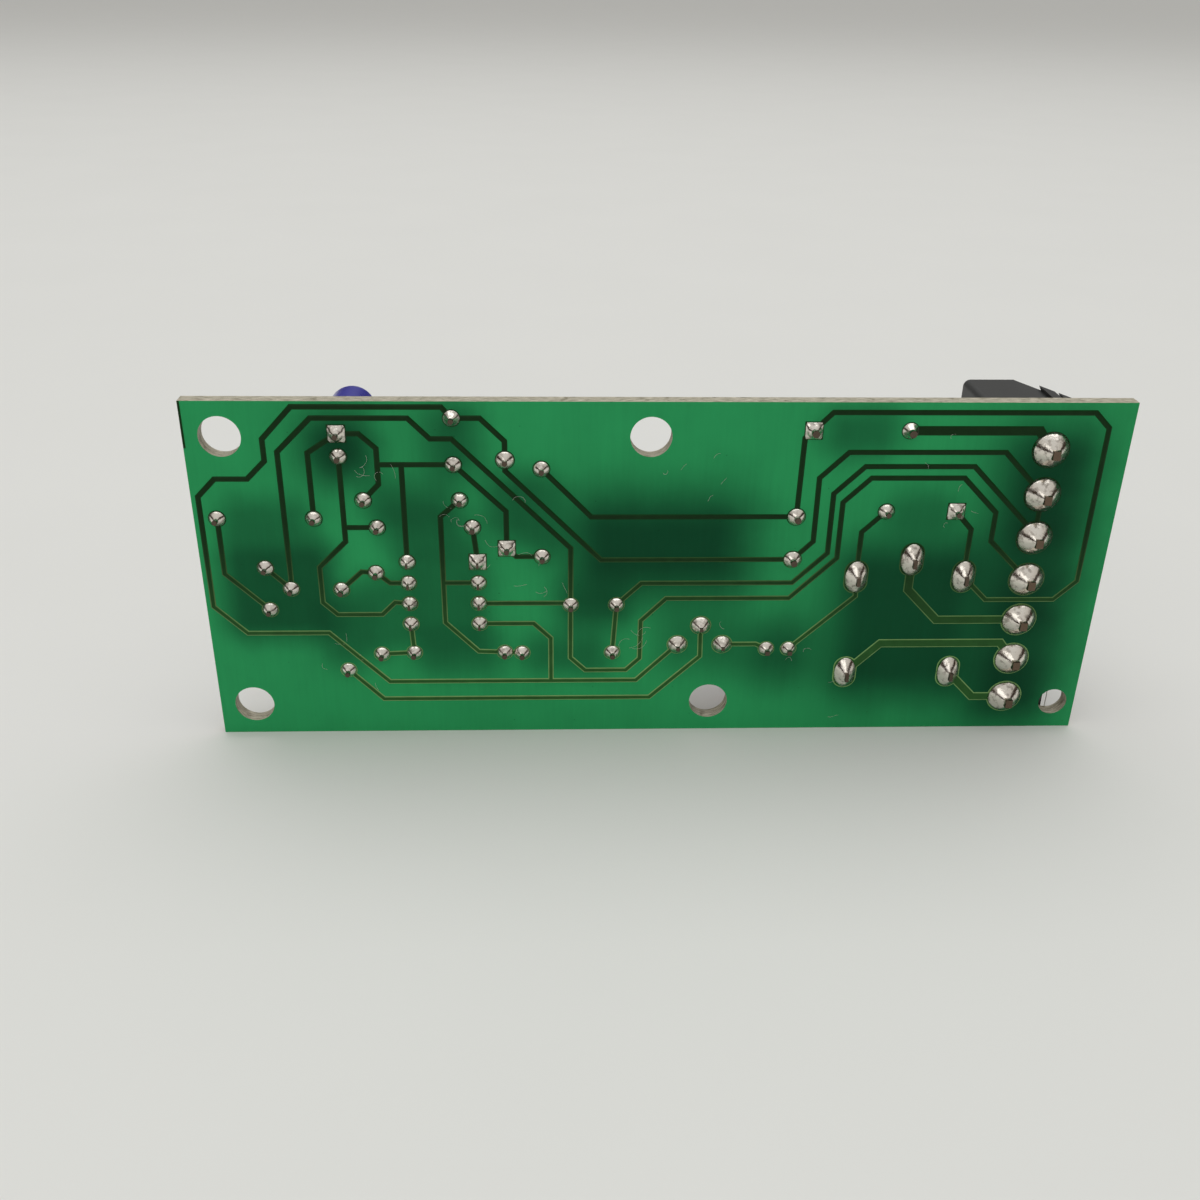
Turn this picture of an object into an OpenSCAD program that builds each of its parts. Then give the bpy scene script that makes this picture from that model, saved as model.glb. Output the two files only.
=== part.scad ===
// Relay control board: a single-sided circuit board that stands on its long edge,
// solder face towards -Y, components towards +Y, +Z up.
// The origin is at the middle of the whole object's footprint, on the surface that the edge stands on.
// Places on the board are [x, z]: x from its left edge and z from its lower edge, seen from the solder face.

/* [Board] */
// Length of the board
board_l = 99.06; // [90:0.02:140]
// Height of the board as it stands
board_w = 39.88; // [39:0.02:60]
// Thickness of the laminate
board_t = 1.6; // [0.8:0.1:2.4]
// How far the copper stands proud of the laminate
copper_t = 0.07; // [0.035:0.005:0.14]
// Width of a signal track
track_w = 0.6; // [0.3:0.05:0.7]
// Width of a track that carries the switched current
power_track_w = 1.05; // [0.8:0.05:1.6]
// Distance from the edges to the middle of a mounting hole
hole_margin = 3.81; // [3.4:0.01:5]
// Diameter of the four mounting holes
mount_d = 4.4; // [3:0.1:5]
// Diameter of the single hole in the lower right corner
corner_hole_d = 3.3; // [2.5:0.1:4]
// Gap round a lead in its hole in the board
hole_gap = 0.13; // [0.08:0.01:0.25]

/* [Solder] */
// Diameter of a small pad
pad_d = 1.9; // [1.5:0.1:2.1]
// Diameter of a terminal block pad
terminal_pad_d = 4.1; // [3.2:0.1:4.4]
// Width of a relay pad
relay_pad_w = 2.7; // [2.2:0.1:3]
// Height of a relay pad
relay_pad_h = 4.1; // [3:0.1:4.4]
// Height of a small solder joint above the board
joint_h = 1.0; // [0.6:0.05:1.3]
// How far a small lead reaches past the solder face
lead_stub = 1.25; // [0.8:0.05:2]
// How far a terminal block pin reaches past the solder face
terminal_stub = 1.9; // [1.4:0.05:2.5]

/* [Terminal block] */
// Distance from one way to the next
way_pitch = 5.08; // [5:0.02:5.2]
// Height of the block above the board
block_h = 15; // [14:0.5:18]
// Depth of the block behind its row of pins
block_back = 4.7; // [4.6:0.1:6]
// Depth of the block in front of its row of pins
block_front = 5.3; // [4.5:0.1:7]
// Depth of the flat top, behind the slope
crown_d = 5.8; // [5.6:0.1:7]
// Height of the upright front face, below the slope
face_h = 6; // [5.6:0.1:8]
// Radius of the upright corners at the back
block_corner_r = 0.8; // [0.3:0.1:1.2]
// Gap between one housing and the next
housing_gap = 0.06; // [0.04:0.01:0.2]

/* [Wire clamps] */
// Diameter of a clamp screw's shank
screw_d = 2.4; // [2:0.1:2.9]
// Diameter of a clamp screw's head
head_d = 3.8; // [3:0.1:4]
// Height of a clamp screw's head
head_h = 2; // [1.2:0.1:2.4]
// Travel of a clamp cage from open to shut
cage_travel = 2.5; // [1.5:0.1:2.6]
// Clear height for the wire below the contact strip
wire_h = 2.9; // [2.2:0.1:3]
// Clear width inside a cage
wire_w = 2.9; // [2.2:0.1:3]
// Thickness of a cage's side walls
cage_wall = 0.5; // [0.4:0.05:0.6]
// Thickness of the contact strip
strip_t = 0.7; // [0.5:0.05:0.8]
// Running gap round the parts that move
clamp_gap = 0.1; // [0.05:0.01:0.15]

/* [Relay] */
// Width of the relay along the board
relay_w = 15.5; // [14:0.1:18.6]
// Height of the relay up the board
relay_l = 19.2; // [18:0.1:23.1]
// How far the relay stands out from the board
relay_h = 15.3; // [12:0.1:18.4]
// Gap between the relay and the terminal block
relay_gap = 0.7; // [0.4:0.1:3]

/* [Integrated circuit] */
// Width of the package across its rows of pins
ic_w = 6.35; // [6:0.05:7.62]
// Length of the package along its rows
ic_l = 9.6; // [9.2:0.1:10.2]
// Thickness of the package
ic_h = 3.3; // [3:0.1:4]
// Distance from pin to pin in a row, and in other parts on the same grid
pin_pitch = 2.54; // [2.5:0.01:2.6]

/* [Capacitors] */
// Diameter of the small electrolytic capacitor
small_can_d = 5.2; // [4:0.1:6.3]
// Length of the small electrolytic capacitor
small_can_l = 11; // [7:0.5:12]
// Diameter of the large electrolytic capacitor
large_can_d = 13; // [10:0.5:15.6]
// Length of the large electrolytic capacitor
large_can_l = 21; // [16:0.5:21.5]
// Wall of a capacitor's sleeve
sleeve_t = 0.15; // [0.1:0.01:0.3]
// Diameter of a ceramic capacitor's disc
disc_d = 5; // [4:0.1:5.4]
// Thickness of a ceramic capacitor's disc
disc_t = 2.8; // [2:0.1:3.2]

/* [Resistors and diodes] */
// Diameter of a resistor's body
resistor_d = 2.4; // [1.8:0.1:2.6]
// Length of a resistor's body
resistor_l = 6.5; // [5:0.1:7.2]
// Diameter of the rectifier diode's and the zener diode's bodies
power_diode_d = 2.7; // [2.2:0.1:3]
// Length of the rectifier diode's and the zener diode's bodies
power_diode_l = 5.2; // [4:0.1:6]
// Diameter of the signal diode's body
signal_diode_d = 1.9; // [1.5:0.1:2.2]
// Length of the signal diode's body
signal_diode_l = 3.9; // [3:0.1:4.4]
// Distance between the holes of a resistor or of a diode of its size
axial_span = 10.16; // [9.6:0.01:11]
// Diameter of a thin wire lead
wire_d = 0.56; // [0.4:0.02:0.7]
// Radius of a lead's bend, at the middle of the wire
bend_r = 0.8; // [0.6:0.05:0.9]

/* [Transistor, trimmer and indicator] */
// Diameter of the transistor's body
transistor_d = 4.8; // [4:0.1:5.2]
// Length of the transistor's body
transistor_l = 4.8; // [4:0.1:5.2]
// Side of the trimmer's square body
trimmer_w = 9.5; // [8:0.1:10.4]
// Height of the trimmer's body
trimmer_h = 4.8; // [4:0.1:6]
// Diameter of the trimmer's rotor
rotor_d = 4.6; // [3:0.1:6]
// Running gap round the trimmer's rotor
rotor_gap = 0.05; // [0.03:0.01:0.1]
// Diameter of the indicator's lens
lens_d = 5; // [3:0.1:5.4]

/* [Hidden] */
$fn = 48;

WAYS = 7;
WAY_GROUPS = [3, 2, 2];
SCREWS = [for (way = [1:WAYS]) str("clamp_screw_", way)];
CAGES = [for (way = [1:WAYS]) str("clamp_cage_", way)];

slack = 0.01;              // extra depth that makes a cut pass right through
seat_lift = 0.02;          // how far a round body stays off the board it lies on

// ---- where things sit on the board ----

layout_l = 99.06;          // board length that the right-hand group's places are given for
function east(x) = x + board_l - layout_l;

block_inset = 8.44;        // right edge of the board to the row of terminal pins
lowest_way = 4.2;          // height of the lowest terminal pin
terminal_x = board_l - block_inset;
function way_at(way) = [terminal_x, lowest_way + (WAYS - way) * way_pitch];

relay_z = 14.8;            // height of the relay's middle, that its pins are placed from
relay_x = terminal_x - block_back - relay_gap - relay_w / 2;
relay_foot = relay_z - relay_l / 2;
relay_top = relay_z + relay_l / 2;
coil_span = 12;            // between the two coil pins, and between the two outer contacts
contact_row = -7.2;        // relay's middle to its outer contacts
coil_row = contact_row + 12.2;
common_row = coil_row + 2.1;

row_span = ic_w + 1.27;    // between the two rows of pins
cap_span = 2 * pin_pitch;  // between the holes of a ceramic or a large capacitor
diode_clear = 2.3;         // relay to the signal diode
large_cap_z = 24.5;
large_cap_end = east(60);  // the large capacitor's bung end
large_cap_lift = large_can_d / 2 + seat_lift;

board_hole_list = [[hole_margin, board_w - hole_margin, mount_d], [hole_margin, hole_margin, mount_d],
    [48.26, board_w - hole_margin, mount_d], [55.88, hole_margin, mount_d],
    [board_l - 2.54, 3.4, corner_hole_d]];

ic_at = [26, 17.95];
trimmer_at = [8.15, 18.55];
small_cap_at = [15.75, 35.15];
ceramic_1_at = [27.6, 35.55];
ceramic_2_at = [42.45, large_cap_z - large_can_d / 2 - disc_t / 2 - 0.15];
// The upright resistor stays with the left-hand group, unless the large capacitor comes too near
resistor_8_x = min(36.8, large_cap_end - large_can_l - resistor_d / 2 - 1);
// Each resistor: [x, z, turn]
resistor_list = [[7.52, 26.9, 0], [23.05, 29, 0], [24.3, 25.85, 0], [18.75, 15.4, 90],
    [14.86, 13.35, 90], [27.45, 10.48, 0], [39.55, 10.38, 0], [resistor_8_x, 27.45, 90]];
rectifier_at = [east(70.3), 36.8];
signal_diode_at = [relay_x + 0.25, relay_top + diode_clear + signal_diode_d / 2];
zener_at = [resistor_8_x - 3.8, 28.45];
transistor_at = [54.52, 11.35];
indicator_at = [east(63.4), 10.75];

// ---- leads, pads and solder ----

signal_span = 7.62;        // between the signal diode's holes
small_cap_span = 2.5;
rectifier_wire_d = 0.78;
large_wire_d = 0.7;
dip_pin = [0.25, 0.5];
relay_pin = [0.4, 1];
terminal_pin = [0.8, 1];
flat_pin = [0.4, 0.46];
post_pin = [0.5, 0.5];
relay_stub = 1.5;
square_pad = 2;
big_pad_d = 2.4;

// The board place of a component's own point p, on a component at `at` that is turned by `turn`
function on_board(at, turn, p) =
    [at[0] + p[0] * cos(turn) - p[1] * sin(turn), at[1] - p[0] * sin(turn) - p[1] * cos(turn)];

function row_of_two(at, turn, span) = [for (side = [-1, 1]) on_board(at, turn, [side * span / 2, 0])];

function resistor_pins(number) =
    let (r = resistor_list[number - 1]) row_of_two([r[0], r[1]], r[2], axial_span);

rectifier_pins = row_of_two(rectifier_at, 0, axial_span);
signal_diode_pins = row_of_two(signal_diode_at, 0, signal_span);
zener_pins = row_of_two(zener_at, 90, axial_span);
small_cap_pins = row_of_two(small_cap_at, 90, small_cap_span);
large_cap_pins = row_of_two([east(64.2), large_cap_z], 90, cap_span);
ceramic_1_pins = row_of_two(ceramic_1_at, 90, cap_span);
ceramic_2_pins = row_of_two(ceramic_2_at, 0, cap_span);
indicator_pins = row_of_two(indicator_at, 0, pin_pitch);
// The emitter, the base and the collector
transistor_pin_list = [[transistor_at[0] - pin_pitch, transistor_at[1]],
    [transistor_at[0], transistor_at[1] + pin_pitch - 0.1], [transistor_at[0] + pin_pitch, transistor_at[1]]];
trimmer_pin_list = [[trimmer_at[0] - pin_pitch / 2, trimmer_at[1] + pin_pitch],
    [trimmer_at[0] + pin_pitch / 2, trimmer_at[1]],
    [trimmer_at[0] - pin_pitch / 2, trimmer_at[1] - pin_pitch]];
// Pins 1 to 4 go down the right-hand row and 5 to 8 go up the left-hand row
function ic_pin(number) = number <= 4
    ? [ic_at[0] + row_span / 2, ic_at[1] + (2.5 - number) * pin_pitch]
    : [ic_at[0] - row_span / 2, ic_at[1] + (number - 6.5) * pin_pitch];
coil_pin_1 = [relay_x - coil_span / 2, relay_z + coil_row];
coil_pin_2 = [relay_x + coil_span / 2, relay_z + coil_row];
common_pin = [relay_x, relay_z + common_row];
open_pin = [relay_x - coil_span / 2, relay_z + contact_row];
closed_pin = [relay_x + coil_span / 2, relay_z + contact_row];
relay_pin_list = [common_pin, coil_pin_1, coil_pin_2, open_pin, closed_pin];

// A joint: [place, lead's width and depth (a depth of 0 is a round wire), pad's diameter or side,
// extra pad height, square or not, height of the solder, lead's reach]
function joint(at, lead, pad = pad_d, tall = 0, square = false, solder = joint_h, stub = lead_stub) =
    [at, lead, pad, tall, square, solder, stub];
function round_joint(at, wire = wire_d, pad = pad_d) = joint(at, [wire, 0], pad);
function square_joint(at, lead) = joint(at, lead, square_pad, 0, true);

ic_joints = [for (number = [1:8])
    number == 1 ? square_joint(ic_pin(number), dip_pin) : joint(ic_pin(number), dip_pin)];
trimmer_joints = [for (at = trimmer_pin_list) round_joint(at, post_pin[0])];
small_cap_joints = [square_joint(small_cap_pins[0], [wire_d, 0]), round_joint(small_cap_pins[1])];
large_cap_joints = [for (at = large_cap_pins) round_joint(at, large_wire_d, 2.1)];
ceramic_joints = [for (at = concat(ceramic_1_pins, ceramic_2_pins)) round_joint(at)];
resistor_joints = [for (number = [1:len(resistor_list)], at = resistor_pins(number)) round_joint(at)];
diode_joints = [square_joint(rectifier_pins[0], [rectifier_wire_d, 0]),
    round_joint(rectifier_pins[1], rectifier_wire_d), round_joint(signal_diode_pins[0]),
    square_joint(signal_diode_pins[1], [wire_d, 0]), round_joint(zener_pins[0], wire_d, 2.1),
    square_joint(zener_pins[1], [wire_d, 0])];
transistor_joints = [for (at = transistor_pin_list) joint(at, flat_pin, big_pad_d)];
indicator_joints = [for (at = indicator_pins) joint(at, post_pin)];
relay_joints = [for (at = relay_pin_list)
    joint(at, relay_pin, relay_pad_w, relay_pad_h - relay_pad_w, false, joint_h, relay_stub)];
terminal_joints = [for (way = [1:WAYS])
    joint(way_at(way), terminal_pin, terminal_pad_d, 0, false, terminal_stub - 0.45, terminal_stub)];
joint_list = concat(ic_joints, trimmer_joints, small_cap_joints, large_cap_joints, ceramic_joints,
    resistor_joints, diode_joints, transistor_joints, indicator_joints, relay_joints, terminal_joints);

function lead_across(j) = j[1][1] == 0 ? j[1][0] : norm(j[1]);
function hole_of(j) = lead_across(j) + 2 * hole_gap;

// ---- the frame ----

front_reach = terminal_stub;
back_reach = board_t + max(relay_h, block_h, large_can_d + seat_lift, small_can_l);

// Stands up what is drawn with x along the board, y up it and z out of its solder face
module stand() {
    translate([-board_l / 2, (front_reach - back_reach) / 2, 0]) rotate([90, 0, 0]) children();
}

// Seats what is drawn with z out of the component face, x along the board and y down it
module seat(at, turn = 0) {
    stand() translate([at[0], at[1], -board_t]) rotate([180, 0, 0]) rotate([0, 0, turn]) children();
}

// The stretch of a joint's lead from height `low` to height `high` over the solder face
module lead_prism(j, low, high) {
    translate([j[0][0], j[0][1], low])
        if (j[1][1] == 0) cylinder(d = j[1][0], h = high - low);
        else translate([-j[1][0] / 2, -j[1][1] / 2, 0]) cube([j[1][0], j[1][1], high - low]);
}

// The leads of a list of joints, through the board and out to their clipped ends
module through_leads(joints) {
    stand() for (j = joints) lead_prism(j, -board_t, j[6]);
}

// ---- shapes used again ----

module rounded(size, r) {
    square([size[0] - 2 * r, size[1]], center = true);
    square([size[0], size[1] - 2 * r], center = true);
    for (x = [-1, 1], y = [-1, 1])
        translate([x * (size[0] / 2 - r), y * (size[1] / 2 - r)]) circle(r);
}

function unit(v) = v / norm(v);
function left_of(v) = [-v[1], v[0]];
// How a route's corner moves sideways for each unit of half width, so that the sides stay parallel
function corner_shift(route, i) =
    let (last = len(route) - 1,
         into = left_of(unit(i == 0 ? route[1] - route[0] : route[i] - route[i - 1])),
         away = left_of(unit(i == last ? route[last] - route[last - 1] : route[i + 1] - route[i])))
    (into + away) / (1 + into * away);

module track(route, width = track_w) {
    corners = [for (i = [0:len(route) - 1]) i];
    linear_extrude(copper_t) polygon(concat([for (i = corners) route[i] + corner_shift(route, i) * width / 2],
        [for (i = corners) let (k = len(route) - 1 - i) route[k] - corner_shift(route, k) * width / 2]));
}

// ---- board, copper and solder ----

module circuit_board() {
    color([0.12, 0.50, 0.31]) stand() difference() {
        translate([0, 0, -board_t]) cube([board_l, board_w, board_t]);
        for (hole = board_hole_list)
            translate([hole[0], hole[1], -board_t - slack]) cylinder(d = hole[2], h = board_t + 2 * slack);
        for (j = joint_list)
            translate([j[0][0], j[0][1], -board_t - slack]) cylinder(d = hole_of(j), h = board_t + 2 * slack);
    }
}

module copper_pad(j) {
    translate([j[0][0], j[0][1], 0])
        if (j[4]) linear_extrude(copper_t) square(j[2], center = true);
        else {
            for (side = j[3] > 0 ? [-1, 1] : [0])
                translate([0, side * j[3] / 2, 0]) cylinder(d = j[2], h = copper_t);
            if (j[3] > 0) linear_extrude(copper_t) square([j[2], j[3]], center = true);
        }
}

// The ground net and the supply nets, in the upper left of the board
module left_tracks() {
    top_lane = board_w - 0.6;
    second_lane = board_w - 1.8;
    emitter = transistor_pin_list[0];
    cap_lane = ceramic_2_pins[0][0];
    fourth_way_lane = 31.5;
    // Along the slope that passes the signal diode's square pad, x and z add up to this
    pad_clear = 0.85;
    fourth_way_bend = max(east(113.4),
        signal_diode_pins[1][0] + signal_diode_pins[1][1] + square_pad + pad_clear);
    track([ceramic_1_pins[0], [26.6, top_lane], [11.35, top_lane], [8.1, 35.8], [8.1, 33.4], [6.1, 31.4],
        [2.7, 31.4], [0.75, 29.4], [0.75, 16.4], [4.1, 13.05], [13.05, 13.05], [19.4, 6.7], [47.4, 6.7],
        emitter]);
    track([ic_pin(4), [35.8, ic_pin(4)[1]], [37.7, 12.25], [37.7, 6.7]]);
    track([ceramic_1_pins[0], [30.5, ceramic_1_pins[0][1]], [zener_pins[0][0], 35.6], zener_pins[0],
        [zener_pins[0][0], 32.3], [43.2, large_cap_pins[1][1]], large_cap_pins[1]]);
    track([trimmer_pin_list[1], [9.5, 20], [9.5, 34.4], [13.2, second_lane], [23.1, second_lane],
        [25.3, 35.85], [27.5, 35.85], [cap_lane, 23.35], [cap_lane, 9.7], [41.6, 8.05], [46.2, 8.05],
        [47.75, 9.6], [47.75, 14.4], [50.5, 17.2], [east(64.2), 17.2], [east(69.1), 22.1], [east(69.1), 28.7],
        [east(71.9), fourth_way_lane], [fourth_way_bend - fourth_way_lane, fourth_way_lane],
        [east(85.9), fourth_way_bend - east(85.9)], [east(85.9), 24.1], way_at(4)]);
    track([small_cap_pins[0], [12.6, 34.3], resistor_pins(1)[1]]);
    track([small_cap_pins[0], [18, small_cap_pins[0][1]], [19.7, 34.8], [19.7, 30.8], resistor_pins(2)[0]]);
    track([[19.7, 33], ceramic_1_pins[1], [zener_pins[1][0], 27.7], zener_pins[1],
        [zener_pins[1][0] + 1, resistor_pins(8)[1][1]], resistor_pins(8)[1]]);
    track([[ic_pin(8)[0], 33], ic_pin(8)]);
    track([small_cap_pins[1], [small_cap_pins[1][0], 24.2], [12.7, 21.15], [12.7, 16.85], [14.2, 15.35],
        [19.1, 15.35], [20.6, 16.85], ic_pin(6)]);
    track([[small_cap_pins[1][0], resistor_pins(3)[0][1]], resistor_pins(3)[0]]);
    track([resistor_pins(1)[0], [resistor_pins(1)[0][0], 20.4], trimmer_pin_list[2]]);
    track([trimmer_pin_list[0], trimmer_pin_list[1]]);
    track([resistor_pins(2)[1], [26, 27.1], [26, 14.3], [29.6, 10.6], resistor_pins(6)[1]]);
    track([[26, ic_pin(2)[1]], ic_pin(2)]);
    track([resistor_pins(3)[1], ic_pin(1)]);
    track([resistor_pins(5)[0], [17.2, 20.6], resistor_pins(4)[0], [20.2, ic_pin(7)[1]], ic_pin(7)]);
    track([ic_pin(5), resistor_pins(6)[0], resistor_pins(4)[1]]);
    track([ic_pin(3), [cap_lane, ic_pin(3)[1]]]);
    track([ceramic_2_pins[1], resistor_pins(7)[1]]);
    track([resistor_pins(5)[1], [18.6, 4.4], [49, 4.4], [transistor_at[0] + 0.1, 9.8],
        transistor_pin_list[1]]);
    track([resistor_pins(6)[1], resistor_pins(7)[0]]);
}

// The tracks between the relay's drive, the large capacitor and the terminals
module right_tracks() {
    edge_lane = board_w - 1.1;
    relay_lane = east(71.65);
    third_way_lane = 32.8;
    second_way_lane = 34.4;
    track([ceramic_2_pins[1], [47.7, 19.1], [east(64.4), 19.1], [east(68), 22.7], [east(68), 29.7],
        [east(71.1), third_way_lane], [east(82.8), third_way_lane], [east(89.2), 26.4], way_at(3)]);
    track([large_cap_pins[1], [east(66.3), 24.1], [east(66.3), 31.5], [east(69.2), second_way_lane],
        [east(85.9), second_way_lane], way_at(2)]);
    track([large_cap_pins[0], [42.1, large_cap_pins[0][1]], resistor_pins(8)[0]]);
    track([way_at(2), way_at(3)]);
    track([large_cap_pins[0], [east(64.35), 36], rectifier_pins[0], [east(67.1), edge_lane],
        [east(94.7), edge_lane], [east(96.4), 37.1], [east(96.4), 19.2], [east(94.1), 16.9],
        [east(86.4), 16.9], coil_pin_2]);
    track([transistor_pin_list[2], [east(60.9), transistor_at[1]], indicator_pins[0]]);
    track([indicator_pins[1], [relay_lane, 17.4], coil_pin_1]);
    track([coil_pin_1, [east(71.5), 25.2], signal_diode_pins[0]]);
    track([signal_diode_pins[1], [east(83.5), 25.5], coil_pin_2]);
    track([rectifier_pins[1], [east(89.1), rectifier_pins[1][1]], way_at(1)], power_track_w);
    track([common_pin, [relay_x, 18.2], [relay_x + 3.7, way_at(5)[1]], way_at(5)], power_track_w);
    track([open_pin, [open_pin[0] + 3.7, 11.35], [east(89), 11.35], way_at(6)], power_track_w);
    track([closed_pin, [closed_pin[0] + 3.3, way_at(7)[1]], way_at(7)], power_track_w);
}

module copper_tracks() {
    sliver_low = 34.8;
    sliver_w = 0.25;
    color([0.10, 0.26, 0.12]) stand() difference() {
        union() {
            left_tracks();
            right_tracks();
            // A sliver of border copper left at the edge
            translate([0, sliver_low, 0]) cube([sliver_w, board_w - sliver_low, copper_t]);
            for (j = joint_list) copper_pad(j);
        }
        for (j = joint_list) translate([j[0][0], j[0][1], -slack]) cylinder(d = hole_of(j), h = 1);
    }
}

// Half of a solder joint's outline: hollow flanks on a small joint, a dome on a large one
flank_steps = 5;
flank_hollow = 1.5;        // power by which a small joint's flank draws in
dome_share = 0.8;          // share of a quarter turn that a dome's flank takes
function flank(r, tip_r, h, domed) = [for (i = [0:flank_steps])
    let (share = i / flank_steps, a = 90 * i / flank_steps)
    domed
        ? [r * cos(a * dome_share), h * sin(a)]
        : [tip_r + (r - tip_r) * pow(1 - share, flank_hollow), h * i / flank_steps]];
module flank_shape(r, tip_r, h, domed) {
    polygon(concat([[0, 0]], flank(r, tip_r, h, domed), [[0, h]]));
}

module fillet(j) {
    bare_rim = 0.03;
    sheet_t = 0.12;
    tip_wall = 0.1;
    r = j[2] / 2 - bare_rim;
    h = j[5] - copper_t;
    tip_r = lead_across(j) / 2 + tip_wall;
    domed = j[2] > big_pad_d;
    translate([j[0][0], j[0][1], copper_t])
        if (j[4]) {
            linear_extrude(sheet_t) square(j[2] - 2 * bare_rim, center = true);
            translate([0, 0, sheet_t]) rotate_extrude() flank_shape(r, tip_r, h - sheet_t, false);
        }
        else if (j[3] > 0) {
            for (side = [-1, 1])
                translate([0, side * j[3] / 2, 0]) rotate_extrude() flank_shape(r, tip_r, h, domed);
            translate([0, j[3] / 2, 0]) rotate([90, 0, 0]) linear_extrude(j[3]) {
                flank_shape(r, tip_r, h, domed);
                mirror([1, 0]) flank_shape(r, tip_r, h, domed);
            }
        }
        else rotate_extrude() flank_shape(r, tip_r, h, domed);
}

module solder_joints() {
    color([0.78, 0.78, 0.76]) stand() for (j = joint_list) difference() {
        fillet(j);
        lead_prism(j, 0, j[6] + 1);
    }
}

// ---- terminal block: each way is drawn with x towards the wire's entry, y down the board, z up from it ----

thread_gap = 0.05;
strip_back = -block_back + 0.75;
cage_ring = 0.5;           // metal left round a cage's thread
cage_d = screw_d + 2 * thread_gap + 2 * cage_ring;
screw_x = strip_back + strip_t + clamp_gap + cage_d / 2;
foot_low = 0.3;
cage_floor_t = 0.8;
cage_roof_t = 1.8;
cage_low = foot_low + strip_t + 2 * clamp_gap;
strip_top = cage_low + cage_floor_t + wire_h + strip_t;
cage_w = wire_w + 2 * cage_wall;
cage_window_h = wire_h + strip_t + 2 * clamp_gap;
cage_h = cage_floor_t + cage_window_h + cage_roof_t;
chamber_top = cage_low + cage_h + cage_travel + 2 * clamp_gap;
head_low = chamber_top + 2 * clamp_gap;
head_top = head_low + head_h;
strip_w = wire_w - 3 * clamp_gap;
strip_front = 0.6;
entry_w = wire_w + 0.5;
entry_low = cage_low + cage_floor_t - 0.1;
entry_h = wire_h + 0.2;
rib_reach = 0.45;
rib_places = [3.3, 4.55];

function group_start(group) = group == 0 ? 1 : group_start(group - 1) + WAY_GROUPS[group - 1];

module block_profile() {
    polygon([[-block_back, 0], [block_front, 0], [block_front, face_h],
        [crown_d - block_back, block_h], [-block_back, block_h]]);
}

// The dovetail ribs of one housing, or with a gap the grooves that take the next one's
module dovetail_plan(gap = 0) {
    root = 0.35 + gap;
    tip = 0.5 + gap;
    for (x = rib_places)
        polygon([[x - root, slack], [x - tip, -rib_reach - gap],
            [x + tip, -rib_reach - gap], [x + root, slack]]);
}

module block_plan(length) {
    r = block_corner_r;
    translate([-block_back + r, 0]) square([block_back + block_front - r, length]);
    translate([-block_back, r]) square([r + slack, length - 2 * r]);
    for (y = [r, length - r]) translate([-block_back + r, y]) circle(r);
}

module way_cavity() {
    mouth = 0.6;               // depth of the wire entry's wider mouth
    mouth_lip = mouth / 2;
    chamfer = 0.4;
    driver_d = head_d - chamfer;
    // Chamber for the cage, open below for its fitting
    translate([screw_x - cage_d / 2 - clamp_gap, -cage_w / 2 - clamp_gap, -slack])
        cube([cage_d + 2 * clamp_gap, cage_w + 2 * clamp_gap, chamber_top + slack]);
    // Slot that holds the contact strip
    translate([strip_back, -strip_w / 2, -slack])
        cube([strip_front - strip_back, strip_w, strip_top + slack]);
    // Wire entry, with a wider mouth
    translate([0, -entry_w / 2, entry_low]) cube([block_front + slack, entry_w, entry_h]);
    translate([block_front - mouth, -entry_w / 2 - mouth_lip, entry_low - mouth_lip])
        cube([mouth + slack, entry_w + 2 * mouth_lip, entry_h + 2 * mouth_lip]);
    // Seat of the screw's head, and the driver's way in
    translate([screw_x, 0, chamber_top - slack])
        cylinder(d = head_d + 2 * clamp_gap, h = head_top - chamber_top + clamp_gap + slack);
    translate([screw_x, 0, head_top]) cylinder(d = driver_d, h = block_h - head_top + slack);
    translate([screw_x, 0, block_h - chamfer])
        cylinder(d1 = driver_d, d2 = head_d + chamfer + slack, h = chamfer + slack);
}

module terminal_housing(group) {
    count = WAY_GROUPS[group];
    length = count * way_pitch - housing_gap;
    color([0.16, 0.16, 0.17]) seat(way_at(group_start(group)))
        translate([0, -way_pitch / 2 + housing_gap / 2, 0]) difference() {
            intersection() {
                translate([0, length, 0]) rotate([90, 0, 0])
                    linear_extrude(length + rib_reach) block_profile();
                linear_extrude(block_h) {
                    block_plan(length);
                    dovetail_plan();
                }
            }
            translate([0, length, -slack]) linear_extrude(block_h + 2 * slack) dovetail_plan(housing_gap);
            for (i = [0:count - 1]) translate([0, (i + 0.5) * way_pitch - housing_gap / 2, 0]) way_cavity();
        }
}
module terminal_housing_1() terminal_housing(0);
module terminal_housing_2() terminal_housing(1);
module terminal_housing_3() terminal_housing(2);

// A strip bent round the cage: over the wire, down the back and under to the pin
module contact_strip() {
    rotate([90, 0, 0]) translate([0, 0, -strip_w / 2]) linear_extrude(strip_w) difference() {
        translate([strip_back, foot_low]) square([strip_front - strip_back, strip_top - foot_low]);
        translate([strip_back + strip_t, foot_low + strip_t])
            square([strip_front - strip_back, strip_top - foot_low - 2 * strip_t]);
    }
    translate([-terminal_pin[0] / 2, -terminal_pin[1] / 2, 0])
        cube([terminal_pin[0], terminal_pin[1], foot_low]);
}

module terminal_contacts() {
    color([0.80, 0.79, 0.72]) {
        for (way = [1:WAYS]) seat(way_at(way)) contact_strip();
        through_leads(terminal_joints);
    }
}

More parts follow.
